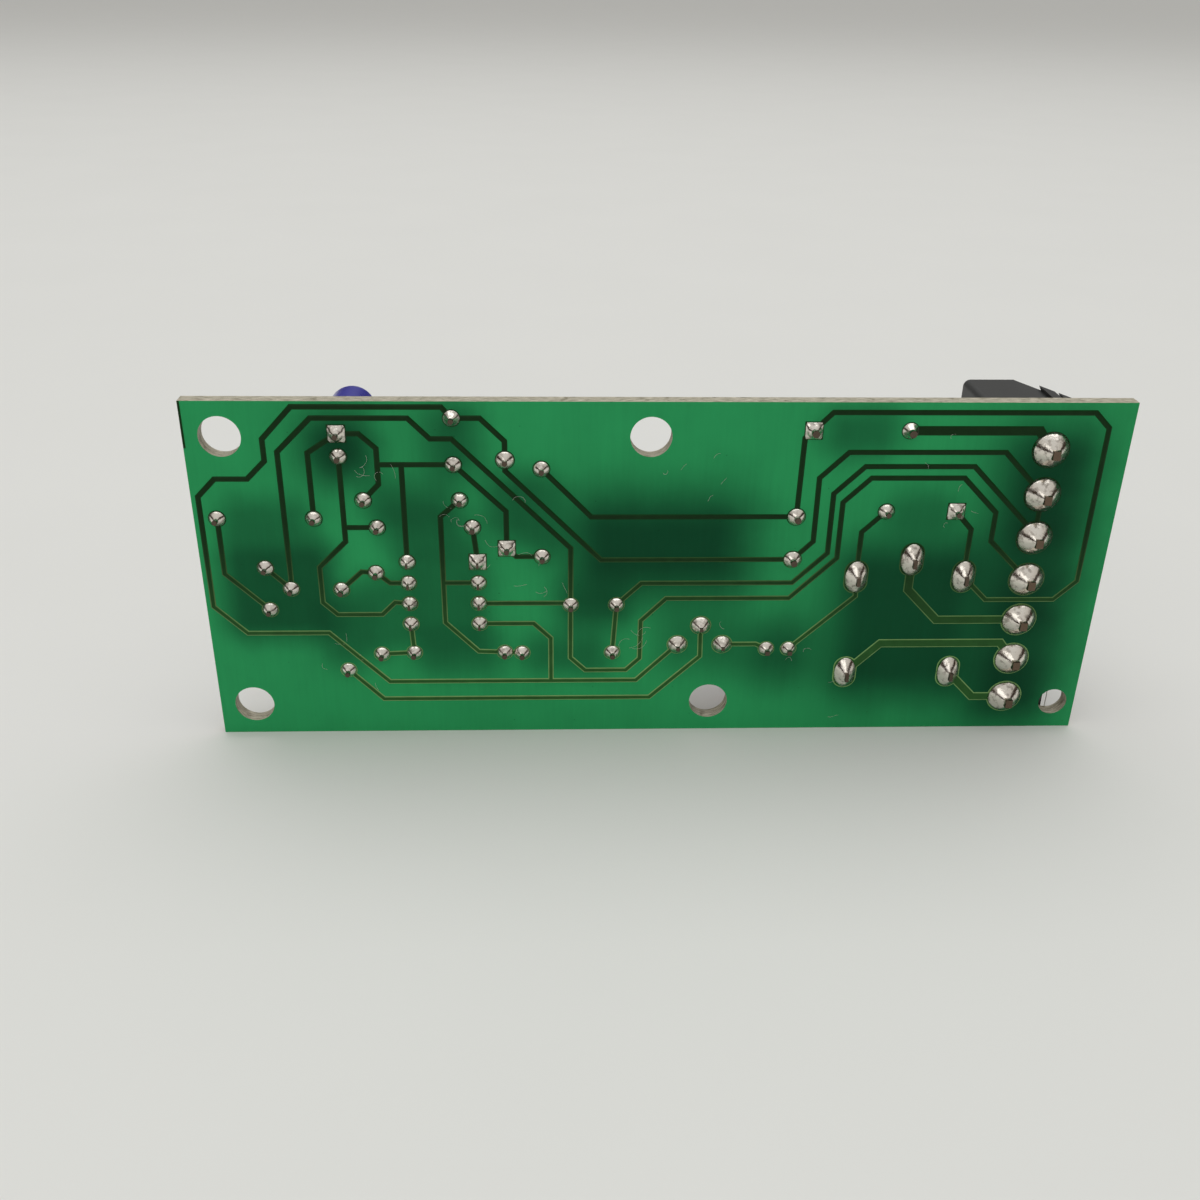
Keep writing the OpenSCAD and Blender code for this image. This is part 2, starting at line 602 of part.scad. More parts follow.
slot_w = 0.8;
slot_d = 1;
slot_step = 40;            // the screws stop at different turns
module clamp_screw(way) {
    color([0.72, 0.73, 0.74]) seat(way_at(way)) translate([screw_x, 0, 0]) difference() {
        union() {
            translate([0, 0, strip_top + thread_gap])
                cylinder(d = screw_d, h = head_low - strip_top - thread_gap);
            translate([0, 0, head_low]) cylinder(d = head_d, h = head_h);
        }
        rotate([0, 0, slot_step * way]) translate([0, 0, head_top - slot_d / 2 + slack])
            cube([head_d + 1, slot_w, slot_d], center = true);
    }
}

module clamp_cage(way) {
    color([0.74, 0.74, 0.73]) seat(way_at(way)) translate([screw_x, 0, cage_low]) difference() {
        translate([-cage_d / 2, -cage_w / 2, 0]) cube([cage_d, cage_w, cage_h]);
        translate([-cage_d / 2 - slack, -wire_w / 2, cage_floor_t])
            cube([cage_d + 2 * slack, wire_w, cage_window_h]);
        cylinder(d = screw_d + 2 * thread_gap, h = cage_h + slack);
    }
}

// ---- relay ----

relay_base_t = 1.8;
relay_wall = 0.9;
relay_edge = 0.5;
relay_foot_h = 0.3;
relay_corner_r = 0.7;
module relay_block() {
    translate([0, 0, relay_foot_h]) intersection() {
        linear_extrude(relay_h - relay_foot_h) rounded([relay_w, relay_l], relay_corner_r);
        // Bevelled top edges, one pair each way
        rotate([90, 0, 0]) translate([0, 0, -relay_l]) linear_extrude(2 * relay_l) bevelled(relay_w);
        rotate([90, 0, 90]) translate([0, 0, -relay_w]) linear_extrude(2 * relay_w) bevelled(relay_l);
    }
}
module bevelled(width) {
    top = relay_h - relay_foot_h;
    polygon([[-width / 2, 0], [width / 2, 0], [width / 2, top - relay_edge], [width / 2 - relay_edge, top],
        [relay_edge - width / 2, top], [-width / 2, top - relay_edge]]);
}

relay_middle = [relay_x, relay_z];
module relay_base_shape(depth) {
    base_corner_r = 0.5;
    translate([0, 0, relay_foot_h]) linear_extrude(depth)
        rounded([relay_w - 2 * relay_wall, relay_l - 2 * relay_wall], base_corner_r);
}
module relay_case() {
    dimple_d = 1.4;
    dimple_depth = 0.25;
    dimple_inset = 2.2;
    color([0.10, 0.25, 0.62]) seat(relay_middle) difference() {
        relay_block();
        translate([0, 0, -slack]) relay_base_shape(relay_base_t + slack);
        // Vent nib's dimple in a corner of the top
        translate([relay_w / 2 - dimple_inset, relay_l / 2 - dimple_inset, relay_h - dimple_depth])
            cylinder(d = dimple_d, h = 1);
    }
}
module relay_base() {
    foot_d = 1.2;
    foot_inset = 2;
    color([0.08, 0.09, 0.12]) difference() {
        seat(relay_middle) union() {
            relay_base_shape(relay_base_t);
            // Feet that hold the base off the board
            for (x = [-1, 1], y = [-1, 1])
                translate([x * (relay_w / 2 - foot_inset), y * (relay_l / 2 - foot_inset), 0])
                    cylinder(d = foot_d, h = relay_foot_h + slack);
        }
        stand() for (j = relay_joints) lead_prism(j, -board_t - relay_foot_h - relay_base_t, 0);
    }
}
module relay_pins() {
    color([0.80, 0.79, 0.75]) stand() for (j = relay_joints)
        lead_prism(j, -board_t - relay_foot_h - relay_base_t, j[6]);
}

// ---- integrated circuit ----

ic_lift = 0.5;
ic_mid = ic_lift + ic_h * 0.45;   // height of the parting line, where the pins leave
ic_draft = 0.35;
shoulder_w = 1.45;
module draft_profile(width) {
    polygon([[-width / 2 + ic_draft, ic_lift], [width / 2 - ic_draft, ic_lift], [width / 2, ic_mid],
        [width / 2 - ic_draft, ic_lift + ic_h], [-width / 2 + ic_draft, ic_lift + ic_h],
        [-width / 2, ic_mid]]);
}
module ic_body() {
    notch_d = 1.9;
    notch_low = 0.4;
    dot_d = 0.9;
    dot_depth = 0.12;
    dot_inset = 1.4;
    color([0.07, 0.07, 0.08]) seat(ic_at) difference() {
        intersection() {
            rotate([90, 0, 0]) translate([0, 0, -ic_l / 2]) linear_extrude(ic_l) draft_profile(ic_w);
            rotate([90, 0, 90]) translate([0, 0, -ic_w / 2]) linear_extrude(ic_w) draft_profile(ic_l);
        }
        translate([0, -ic_l / 2, ic_mid + notch_low]) cylinder(d = notch_d, h = ic_h);
        translate([ic_w / 2 - dot_inset, dot_inset - ic_l / 2, ic_lift + ic_h - dot_depth])
            cylinder(d = dot_d, h = 1);
    }
}
module ic_pins() {
    leg_x = row_span / 2;
    half_t = dip_pin[0] / 2;
    color([0.78, 0.78, 0.76]) {
        seat(ic_at) for (side = [0, 1], i = [-1.5:1:1.5])
            mirror([side, 0, 0]) translate([0, i * pin_pitch, 0]) {
                rotate([90, 0, 0]) translate([0, 0, -shoulder_w / 2]) linear_extrude(shoulder_w)
                    polygon([[ic_w / 2, ic_mid - half_t], [leg_x - half_t, ic_mid - half_t],
                        [leg_x - half_t, ic_lift], [leg_x + half_t, ic_lift], [leg_x + half_t, ic_mid],
                        [leg_x, ic_mid + half_t], [ic_w / 2, ic_mid + half_t]]);
                translate([leg_x - half_t, -dip_pin[1] / 2, 0]) cube([dip_pin[0], dip_pin[1], ic_lift]);
            }
        through_leads(ic_joints);
    }
}

// ---- trimmer ----

trimmer_lift = 0.4;
rotor_h = 2.4;
rotor_well = 0.7;
trimmer_corner_r = 0.6;
setting = 20;              // degrees that the rotor's slots stand turned
module trimmer_body() {
    foot_d = 1.3;
    foot_inset = 1.1;
    well_d = rotor_d + 1.6;
    chamfer = 1.6;
    color([0.13, 0.32, 0.70]) seat(trimmer_at) difference() {
        union() {
            translate([0, 0, trimmer_lift]) linear_extrude(trimmer_h - trimmer_lift)
                rounded([trimmer_w, trimmer_w], trimmer_corner_r);
            for (x = [-1, 1], y = [-1, 1])
                translate([x * (trimmer_w / 2 - foot_inset), y * (trimmer_w / 2 - foot_inset), 0])
                    cylinder(d = foot_d, h = trimmer_lift + slack);
        }
        translate([0, 0, trimmer_h - rotor_well]) cylinder(d = well_d, h = rotor_well + slack);
        translate([0, 0, trimmer_h - rotor_well - rotor_h])
            cylinder(d = rotor_d + 2 * rotor_gap, h = rotor_h + slack);
        // Chamfered corner that marks the first pin
        translate([-trimmer_w / 2, -trimmer_w / 2, trimmer_lift - slack]) rotate([0, 0, 45])
            cube([chamfer, chamfer, 2 * trimmer_h], center = true);
    }
}
module trimmer_rotor() {
    brim = 0.4;
    brim_h = 0.5;
    cross = [rotor_d * 0.72, 0.7, 1.8];
    notch_d = 0.9;
    notch_h = 1.2;
    notch_top = 0.2;
    color([0.88, 0.87, 0.82]) seat(trimmer_at) difference() {
        union() {
            translate([0, 0, trimmer_h - rotor_well - rotor_h + rotor_gap])
                cylinder(d = rotor_d, h = rotor_h);
            translate([0, 0, trimmer_h - rotor_well]) cylinder(d = rotor_d + 2 * brim, h = brim_h);
        }
        for (turn = [0, 90]) rotate([0, 0, turn + setting]) translate([0, 0, trimmer_h])
            cube(cross, center = true);
        // Notch that points at the setting
        rotate([0, 0, setting]) translate([rotor_d / 2 + brim, 0, trimmer_h - notch_top])
            cylinder(d = notch_d, h = notch_h, center = true);
    }
}
module trimmer_pins() {
    color([0.80, 0.79, 0.75]) {
        stand() for (j = trimmer_joints) lead_prism(j, -board_t - trimmer_lift, j[6]);
    }
}

// ---- electrolytic capacitors ----

can_shoulder = 0.7;
bung_h = 1.3;
crimp_low = 1.7;
crimp_h = 1;
crimp_in = 0.35;
arc_steps = 4;
// Half outline of a can of radius r and length l, grown outwards by t: shoulder, crimped waist and base
function can_outline(r, l, t) = concat(
    [[0, -t], [r + t, -t], [r + t, crimp_low], [r + t - crimp_in, crimp_low + crimp_h / 2],
        [r + t, crimp_low + crimp_h]],
    [for (i = [0:arc_steps]) let (a = 90 * i / arc_steps)
        [r - can_shoulder + (can_shoulder + t) * cos(a), l - can_shoulder + (can_shoulder + t) * sin(a)]],
    [[0, l + t]]);
can_wall = 0.35;
function bung_r(d) = d / 2 - sleeve_t - can_wall;
// The can's length, without its sleeve's two laps
function can_length(l) = l - 2 * sleeve_t;

module can_body(d, l) {
    rotate_extrude() difference() {
        polygon(can_outline(d / 2 - sleeve_t, can_length(l), 0));
        translate([-slack, -slack]) square([bung_r(d) + slack, bung_h + slack]);
    }
}
module can_sleeve(d, l) {
    r = d / 2 - sleeve_t;
    widest_lap = 1.2;
    lap = min(widest_lap, d * 0.14);
    rotate_extrude() difference() {
        polygon(can_outline(r, can_length(l), sleeve_t));
        polygon(can_outline(r, can_length(l), 0));
        square([2 * (r - lap), 4 * l], center = true);
    }
}
module can_bung(d, wire, span) {
    difference() {
        cylinder(r = bung_r(d), h = bung_h);
        for (side = [-1, 1])
            translate([side * span / 2, 0, -slack]) cylinder(d = wire, h = bung_h + 2 * slack);
    }
}

// The scored vent in the large can's end
module score_cross(d, l) {
    score = [d * 0.55, 0.35, 0.3];
    for (turn = [0, 90])
        rotate([0, 0, turn]) translate([0, 0, can_length(l)]) cube(score, center = true);
}

module small_cap() seat(small_cap_at, 90) translate([0, 0, sleeve_t]) children();
module small_capacitor_can() color([0.80, 0.81, 0.82]) small_cap() can_body(small_can_d, small_can_l);
module small_capacitor_sleeve() color([0.16, 0.17, 0.55]) small_cap() can_sleeve(small_can_d, small_can_l);
module small_capacitor_bung() {
    color([0.12, 0.12, 0.12]) small_cap() can_bung(small_can_d, wire_d, small_cap_span);
}
module small_capacitor_leads() {
    color([0.80, 0.79, 0.75]) stand()
        for (j = small_cap_joints) lead_prism(j, -board_t - sleeve_t - bung_h, j[6]);
}

// Lies along the board with its bung towards its pins
module large_cap() {
    seat([large_cap_end, large_cap_z]) translate([0, 0, large_cap_lift])
        rotate([0, -90, 0]) rotate([0, 0, 90]) children();
}
module large_capacitor_can() {
    color([0.80, 0.81, 0.82]) large_cap() difference() {
        can_body(large_can_d, large_can_l);
        score_cross(large_can_d, large_can_l);
    }
}
module large_capacitor_sleeve() color([0.14, 0.15, 0.50]) large_cap() can_sleeve(large_can_d, large_can_l);
module large_capacitor_bung() {
    color([0.12, 0.12, 0.12]) large_cap() can_bung(large_can_d, large_wire_d, cap_span);
}

// A round lead that leaves along x at height h, then bends down to the board at x = reach
module bent_lead(start, reach, wire, h) {
    translate([start, 0, h]) rotate([0, 90, 0]) cylinder(d = wire, h = reach - bend_r - start);
    translate([reach - bend_r, 0, h - bend_r]) rotate([90, 0, 0])
        rotate_extrude(angle = 90) translate([bend_r, 0]) circle(d = wire);
    translate([reach, 0, 0]) cylinder(d = wire, h = h - bend_r);
}
module large_capacitor_leads() {
    reach = large_cap_pins[0][0] - large_cap_end;
    color([0.80, 0.79, 0.75]) {
        for (at = large_cap_pins)
            seat([large_cap_end, at[1]]) bent_lead(-bung_h, reach, large_wire_d, large_cap_lift);
        through_leads(large_cap_joints);
    }
}

// ---- ceramic capacitors ----

disc_lift = 0.9;
module disc_body() {
    rim = 0.8;
    translate([0, 0, disc_lift + disc_d / 2]) rotate([90, 0, 0]) rotate_extrude() {
        translate([0, -disc_t / 2]) square([disc_d / 2 - rim, disc_t]);
        translate([0, rim - disc_t / 2]) square([disc_d / 2, disc_t - 2 * rim]);
        for (side = [-1, 1]) translate([disc_d / 2 - rim, side * (disc_t / 2 - rim)]) circle(rim);
    }
}
// One side's lead: up from the board, then stepped inwards round two bends to the disc
module kinked_lead() {
    knee = 0.35;
    knee_r = 0.5;
    entry_l = 1;
    translate([cap_span / 2, 0, 0]) cylinder(d = wire_d, h = knee);
    translate([cap_span / 2 - knee_r, 0, knee]) rotate([90, 0, 0])
        rotate_extrude(angle = 90) translate([knee_r, 0]) circle(d = wire_d);
    translate([cap_span / 2 - knee_r, 0, knee + 2 * knee_r]) rotate([90, 0, 0]) rotate([0, 0, 180])
        rotate_extrude(angle = 90) translate([knee_r, 0]) circle(d = wire_d);
    translate([cap_span / 2 - 2 * knee_r, 0, knee + 2 * knee_r]) cylinder(d = wire_d, h = entry_l);
}
module ceramic_capacitor(at, turn) color([0.80, 0.45, 0.16]) seat(at, turn) difference() {
    disc_body();
    for (side = [0, 1]) mirror([side, 0, 0]) kinked_lead();
}
module ceramic_capacitor_1() ceramic_capacitor(ceramic_1_at, 90);
module ceramic_capacitor_2() ceramic_capacitor(ceramic_2_at, 0);
module ceramic_capacitor_leads() {
    color([0.80, 0.79, 0.75]) {
        for (place = [[ceramic_1_at, 90], [ceramic_2_at, 0]], side = [0, 1])
            seat(place[0], place[1]) mirror([side, 0, 0]) kinked_lead();
        through_leads(ceramic_joints);
    }
}

// ---- resistors and diodes, drawn along x ----

// A body with bulged ends, as a dipped resistor has
module resistor_body() {
    r = resistor_d / 2;
    l = resistor_l;
    waist = r * 0.86;
    cap_l = l * 0.24;
    edge = r * 0.35;
    translate([-l / 2, 0, r + seat_lift]) rotate([0, 90, 0]) rotate_extrude()
        polygon([[0, 0], [r - edge, 0], [r, edge], [r, cap_l - edge], [waist, cap_l + edge],
            [waist, l - cap_l - edge], [r, l - cap_l + edge], [r, l - edge], [r - edge, l], [0, l]]);
}
module resistor(number) {
    r = resistor_list[number - 1];
    color([0.45, 0.66, 0.78]) seat([r[0], r[1]], r[2]) resistor_body();
}
module axial_leads(at, turn, span, body_l, wire, body_d) {
    for (side = [0, 1]) seat(at, turn) mirror([side, 0, 0])
        bent_lead(body_l / 2, span / 2, wire, body_d / 2 + seat_lift);
}
module resistor_leads() {
    color([0.80, 0.79, 0.75]) {
        for (r = resistor_list) axial_leads([r[0], r[1]], r[2], axial_span, resistor_l, wire_d, resistor_d);
        through_leads(resistor_joints);
    }
}

module diode_body(d, l) {
    edge = d * 0.1;
    translate([-l / 2, 0, d / 2 + seat_lift]) rotate([0, 90, 0]) rotate_extrude()
        polygon([[0, 0], [d / 2 - edge, 0], [d / 2, edge], [d / 2, l - edge], [d / 2 - edge, l], [0, l]]);
}
module rectifier_diode() {
    color([0.10, 0.10, 0.11]) seat(rectifier_at) diode_body(power_diode_d, power_diode_l);
}
module signal_diode() {
    color([0.75, 0.38, 0.18]) seat(signal_diode_at) diode_body(signal_diode_d, signal_diode_l);
}
module zener_diode() {
    color([0.70, 0.33, 0.16]) seat(zener_at, 90) diode_body(power_diode_d, power_diode_l);
}
module diode_leads() {
    color([0.80, 0.79, 0.75]) {
        axial_leads(rectifier_at, 0, axial_span, power_diode_l, rectifier_wire_d, power_diode_d);
        axial_leads(signal_diode_at, 0, signal_span, signal_diode_l, wire_d, signal_diode_d);
        axial_leads(zener_at, 90, axial_span, power_diode_l, wire_d, power_diode_d);
        through_leads(diode_joints);
    }
}

// ---- transistor ----

transistor_lift = 3.4;
transistor_flat = 0.34;    // share of the diameter from the middle to the flat
transistor_y = -0.5;
module transistor_body() {
    color([0.07, 0.07, 0.08]) seat(transistor_at) translate([0, transistor_y, transistor_lift])
        difference() {
            cylinder(d = transistor_d, h = transistor_l);
            translate([-transistor_d, transistor_d * transistor_flat, -slack])
                cube([2 * transistor_d, transistor_d, 2 * transistor_l]);
        }
}
// A flat leg in the plane of its bend, from its foot to the body
module bent_strip(foot, top, thick) {
    low = 0.8;
    high = transistor_lift - 0.5;
    half = thick / 2;
    polygon([[foot - half, 0], [foot + half, 0], [foot + half, low], [top + half, high],
        [top + half, transistor_lift], [top - half, transistor_lift], [top - half, high],
        [foot - half, low]]);
}
module transistor_leads() {
    inner = 1.27;
    color([0.80, 0.79, 0.75]) {
        seat(transistor_at) {
            for (side = [0, 1]) mirror([side, 0, 0]) translate([0, flat_pin[1] / 2, 0]) rotate([90, 0, 0])
                linear_extrude(flat_pin[1]) bent_strip(pin_pitch, inner, flat_pin[0]);
            translate([-flat_pin[0] / 2, 0, 0]) rotate([90, 0, 90]) linear_extrude(flat_pin[0])
                bent_strip(0.1 - pin_pitch, 0, flat_pin[1]);
        }
        through_leads(transistor_joints);
    }
}

// ---- indicator ----

lens_lift = 1.5;
lens_flange_h = 1;
lens_flange_w = 0.4;
lens_h = 8.6;
post_top = 5.2;
// The two posts, one with the cup and the other with the anvil, inside the lens
module indicator_posts(low) {
    for (side = [-1, 1]) translate([side * pin_pitch / 2 - post_pin[0] / 2, -post_pin[1] / 2, low])
        cube([post_pin[0], post_pin[1], post_top - low]);
}
module indicator_cup() {
    cup_w = 0.9;
    anvil_w = 0.6;
    cup_h = 1;
    anvil_h = 0.9;
    post_low = 4;
    rotate([90, 0, 0]) translate([0, 0, -cup_w / 2]) linear_extrude(cup_w)
        polygon([[-1.5, post_low], [-0.9, post_low], [0.15, post_top], [0.15, post_top + cup_h],
            [-0.95, post_top + cup_h], [-1.5, post_top]]);
    rotate([90, 0, 0]) translate([0, 0, -anvil_w / 2]) linear_extrude(anvil_w)
        polygon([[1, post_low], [1.52, post_low], [1.52, post_top + anvil_h], [0.5, post_top + anvil_h],
            [0.5, post_top]]);
}
module indicator_lens() {
    flat_gap = 0.05;           // lens's side to the flat that marks the cathode
    color([0.80, 0.12, 0.10]) seat(indicator_at) difference() {
        union() {
            translate([0, 0, lens_lift]) cylinder(d = lens_d, h = lens_h - lens_d / 2);
            translate([0, 0, lens_lift + lens_h - lens_d / 2]) sphere(d = lens_d);
            translate([0, 0, lens_lift]) difference() {
                cylinder(d = lens_d + 2 * lens_flange_w, h = lens_flange_h);
                translate([lens_d / 2 + flat_gap, -lens_d, -slack])
                    cube([lens_d, 2 * lens_d, lens_flange_h + 2 * slack]);
            }
        }
        indicator_posts(lens_lift - slack);
        indicator_cup();
    }
}
module indicator_leads() {
    color([0.80, 0.79, 0.75]) {
        seat(indicator_at) {
            indicator_posts(0);
            indicator_cup();
        }
        through_leads(indicator_joints);
    }
}

circuit_board();
copper_tracks();
solder_joints();
terminal_housing_1();
terminal_housing_2();
terminal_housing_3();
terminal_contacts();
for (way = [1:WAYS]) {
    clamp_screw(way);
    clamp_cage(way);
}
relay_case();
relay_base();
relay_pins();
ic_body();
ic_pins();
trimmer_body();
trimmer_rotor();
trimmer_pins();
small_capacitor_can();
small_capacitor_sleeve();
small_capacitor_bung();
small_capacitor_leads();
large_capacitor_can();
large_capacitor_sleeve();
large_capacitor_bung();
large_capacitor_leads();
ceramic_capacitor_1();
ceramic_capacitor_2();
ceramic_capacitor_leads();
for (number = [1:len(resistor_list)])
    resistor(number);
resistor_leads();
rectifier_diode();
signal_diode();
zener_diode();
diode_leads();
transistor_body();
transistor_leads();
indicator_lens();
indicator_leads();
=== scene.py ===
"""The looks of a relay control board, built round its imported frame.

The board stands on its long edge with the solder face towards -Y. Lengths are in metres, in the
frame's own axes, and those whose name ends in _mm or _MM are in millimetres.
"""

import logging
import math
from dataclasses import dataclass, replace
from enum import Enum
from typing import Any, Iterable

import bmesh
import bpy
import numpy as np
from mathutils import Matrix, Vector


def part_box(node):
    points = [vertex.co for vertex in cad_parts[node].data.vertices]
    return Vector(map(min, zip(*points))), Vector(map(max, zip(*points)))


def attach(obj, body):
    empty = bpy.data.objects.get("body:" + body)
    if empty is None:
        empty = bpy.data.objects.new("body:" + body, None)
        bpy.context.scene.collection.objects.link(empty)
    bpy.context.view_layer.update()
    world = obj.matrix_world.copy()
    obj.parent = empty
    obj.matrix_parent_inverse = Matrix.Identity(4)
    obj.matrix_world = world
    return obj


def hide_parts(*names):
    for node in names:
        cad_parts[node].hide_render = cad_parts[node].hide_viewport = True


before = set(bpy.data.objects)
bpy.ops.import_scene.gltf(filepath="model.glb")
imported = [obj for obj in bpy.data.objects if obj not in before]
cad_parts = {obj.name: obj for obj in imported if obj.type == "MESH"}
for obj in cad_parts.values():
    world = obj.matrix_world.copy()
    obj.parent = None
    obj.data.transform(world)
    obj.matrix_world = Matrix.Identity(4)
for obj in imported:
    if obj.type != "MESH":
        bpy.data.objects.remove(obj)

MM = 0.001
BODY = "board"
SAME_POINT = 1e-7
Colour = tuple[float, float, float]
Place = tuple[float, float, float]
log = logging.getLogger("relay_board")

WAYS = range(1, 8)
HOUSINGS = tuple(f"terminal_housing_{number}" for number in (1, 2, 3))
RESISTORS = tuple(f"resistor_{number}" for number in range(1, 9))
DISCS = ("ceramic_capacitor_1", "ceramic_capacitor_2")


def srgb(red: int, green: int, blue: int) -> Colour:
    """Turns a screen colour into the linear one that a shader takes.

    Args:
        red: Red from 0 to 255.
        green: Green from 0 to 255.
        blue: Blue from 0 to 255.

    Returns:
        The linear colour.
    """
    full = 255
    toe_end, toe_slope, lift, power = 0.04045, 12.92, 0.055, 2.4
    shares = (red / full, green / full, blue / full)
    return tuple(c / toe_slope if c <= toe_end else ((c + lift) / (1 + lift)) ** power for c in shares)


def scaled(colour: Colour, share: float) -> Colour:
    """Makes a colour lighter or darker, at most white."""
    return tuple(min(1.0, c * share) for c in colour)


# ---- the board's own places ----


@dataclass(frozen=True)
class BoardPlane:
    """Where the laminate is. Places on it are in millimetres from its lower left corner."""

    left: float
    low: float
    solder_face: float
    component_face: float

    @classmethod
    def measured(cls) -> "BoardPlane":
        """Reads the laminate's box in the frame."""
        low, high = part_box("circuit_board")
        return cls(low.x, low.z, low.y, high.y)

    def at(self, x_mm: float, z_mm: float, out_mm: float = 0.0) -> Vector:
        """Gives the point so far from the board's left and lower edges, and out of its solder face."""
        return Vector((self.left + x_mm * MM, self.solder_face - out_mm * MM, self.low + z_mm * MM))


PLANE = BoardPlane.measured()


# ---- shader graphs ----


class Shade:
    """A material under construction, with one short method for each kind of node that the finishes use."""

    def __init__(self, name: str) -> None:
        """Starts an empty material.

        Args:
            name: The material's name.
        """
        self.material = bpy.data.materials.new(name)
        self.material.use_nodes = True
        self.tree = self.material.node_tree
        self.tree.nodes.clear()
        self.output = self.add("ShaderNodeOutputMaterial")
        self.place = self.add("ShaderNodeTexCoord").outputs["Object"]

    def add(self, kind: str, **settings: Any) -> bpy.types.Node:
        """Adds a node.

        Args:
            kind: Its type.
            **settings: Its properties.

        Returns:
            The node.
        """
        node = self.tree.nodes.new(kind)
        for key, value in settings.items():
            setattr(node, key, value)
        return node

    def feed(self, socket: bpy.types.NodeSocket, value: Any) -> None:
        """Links a socket, or sets it where the value is a constant.

        Args:
            socket: The input to feed.
            value: A socket, a number or a colour.
        """
        if isinstance(value, bpy.types.NodeSocket):
            self.tree.links.new(value, socket)
        elif socket.type == "RGBA":
            socket.default_value = (*value, 1.0)
        else:
            socket.default_value = value

    def math(self, operation: str, a: Any, b: Any = 0.0) -> bpy.types.NodeSocket:
        """Joins two numbers.

        Args:
            operation: The Math node's operation.
            a: First number or socket.
            b: Second number or socket.

        Returns:
            The result's socket.
        """
        node = self.add("ShaderNodeMath", operation=operation)
        self.feed(node.inputs[0], a)
        self.feed(node.inputs[1], b)
        return node.outputs[0]

    def times(self, a: Any, b: Any) -> bpy.types.NodeSocket:
        """Multiplies two numbers."""
        return self.math("MULTIPLY", a, b)

    def sway(self, start: Any, wave: Any, reach: Any) -> bpy.types.NodeSocket:
        """Moves a number by a wave, at most as far as `reach`."""
        return self.math("ADD", start, self.times(wave, reach))

    def vector(self, operation: str, a: Any, b: Any = (0.0, 0.0, 0.0)) -> bpy.types.NodeSocket:
        """Joins two vectors.

        Args:
            operation: The Vector Math node's operation.
            a: First vector or socket.
            b: Second vector or socket, or a number for SCALE.

        Returns:
            The result's socket, a number or a vector as the operation has it.
        """
        node = self.add("ShaderNodeVectorMath", operation=operation)
        self.feed(node.inputs[0], a)
        self.feed(node.inputs["Scale" if operation == "SCALE" else 1], b)
        return node.outputs["Value" if operation in ("LENGTH", "DOT_PRODUCT") else "Vector"]

    def axes(self) -> list[bpy.types.NodeSocket]:
        """Gives the three coordinates of the shaded point.

        Returns:
            Their sockets, for x, y and z.
        """
        node = self.add("ShaderNodeSeparateXYZ")
        self.feed(node.inputs[0], self.place)
        return list(node.outputs)

    def step(self, value: Any, low: float, high: float) -> bpy.types.NodeSocket:
        """Rises smoothly from 0 at `low` to 1 at `high`, or falls where `low` is the larger.

        Args:
            value: The number or socket that it follows.
            low: Where the result is 0.
            high: Where the result is 1.

        Returns:
            The result's socket.
        """
        node = self.add("ShaderNodeMapRange", interpolation_type="SMOOTHSTEP")
        ends = (low, high, 0.0, 1.0) if low < high else (high, low, 1.0, 0.0)
        self.feed(node.inputs["Value"], value)
        for label, end in zip(("From Min", "From Max", "To Min", "To Max"), ends):
            node.inputs[label].default_value = end
        return node.outputs["Result"]

    def noise(self, size_mm: float, detail: float = 3.0, stretch: Place = (1, 1, 1)) -> bpy.types.NodeSocket:
        """Cloudy variation.

        Args:
            size_mm: Size of the clouds.
            detail: How many finer layers they have.
            stretch: How many times denser they are along each axis.

        Returns:
            A number round 0.5.
        """
        node = self.add("ShaderNodeTexNoise")
        where = self.place if stretch == (1, 1, 1) else self.vector("MULTIPLY", self.place, stretch)
        self.feed(node.inputs["Vector"], where)
        node.inputs["Scale"].default_value = 1 / (size_mm * MM)
        node.inputs["Detail"].default_value = detail
        return node.outputs["Fac"]

    def cells(self, size_mm: float) -> bpy.types.NodeSocket:
        """Gives a pattern of cells.

        Args:
            size_mm: Size of the cells.

        Returns:
            The distance from the middle of the nearest one.
        """
        node = self.add("ShaderNodeTexVoronoi")
        self.feed(node.inputs["Vector"], self.place)
        node.inputs["Scale"].default_value = 1 / (size_mm * MM)
        return node.outputs["Distance"]

    def mix(self, share: Any, a: Any, b: Any) -> bpy.types.NodeSocket:
        """Mixes two colours.

        Args:
            share: Share of the second colour.
            a: First colour or socket.
            b: Second colour or socket.

        Returns:
            The mixed colour's socket.
        """
        first, second = 6, 7
        node = self.add("ShaderNodeMix", data_type="RGBA")
        self.feed(node.inputs[0], share)
        self.feed(node.inputs[first], a)
        self.feed(node.inputs[second], b)
        return node.outputs[2]

    def mottle(self, clouds: Any, colour: Colour, dark: float, light: float) -> bpy.types.NodeSocket:
        """Varies a colour from a darker to a lighter tone of it."""
        return self.mix(clouds, scaled(colour, dark), scaled(colour, light))

    def bump(self, height: Any, depth_mm: float) -> bpy.types.NodeSocket:
        """Turns a height into a bump.

        Args:
            height: The height, from 0 to 1.
            depth_mm: How deep the bump is.

        Returns:
            The bent normal's socket.
        """
        node = self.add("ShaderNodeBump")
        node.inputs["Distance"].default_value = depth_mm * MM
        self.feed(node.inputs["Height"], height)
        return node.outputs["Normal"]

    def surface(self, **values: Any) -> bpy.types.Material:
        """Ends the material in a Principled surface.

        Args:
            **values: Its inputs by name, with underscores for spaces.

        Returns:
            The finished material.
        """
        node = self.add("ShaderNodeBsdfPrincipled")
        for key, value in values.items():
            self.feed(node.inputs[key.replace("_", " ")], value)
        self.tree.links.new(node.outputs["BSDF"], self.output.inputs["Surface"])
        return self.material


# ---- finishes ----


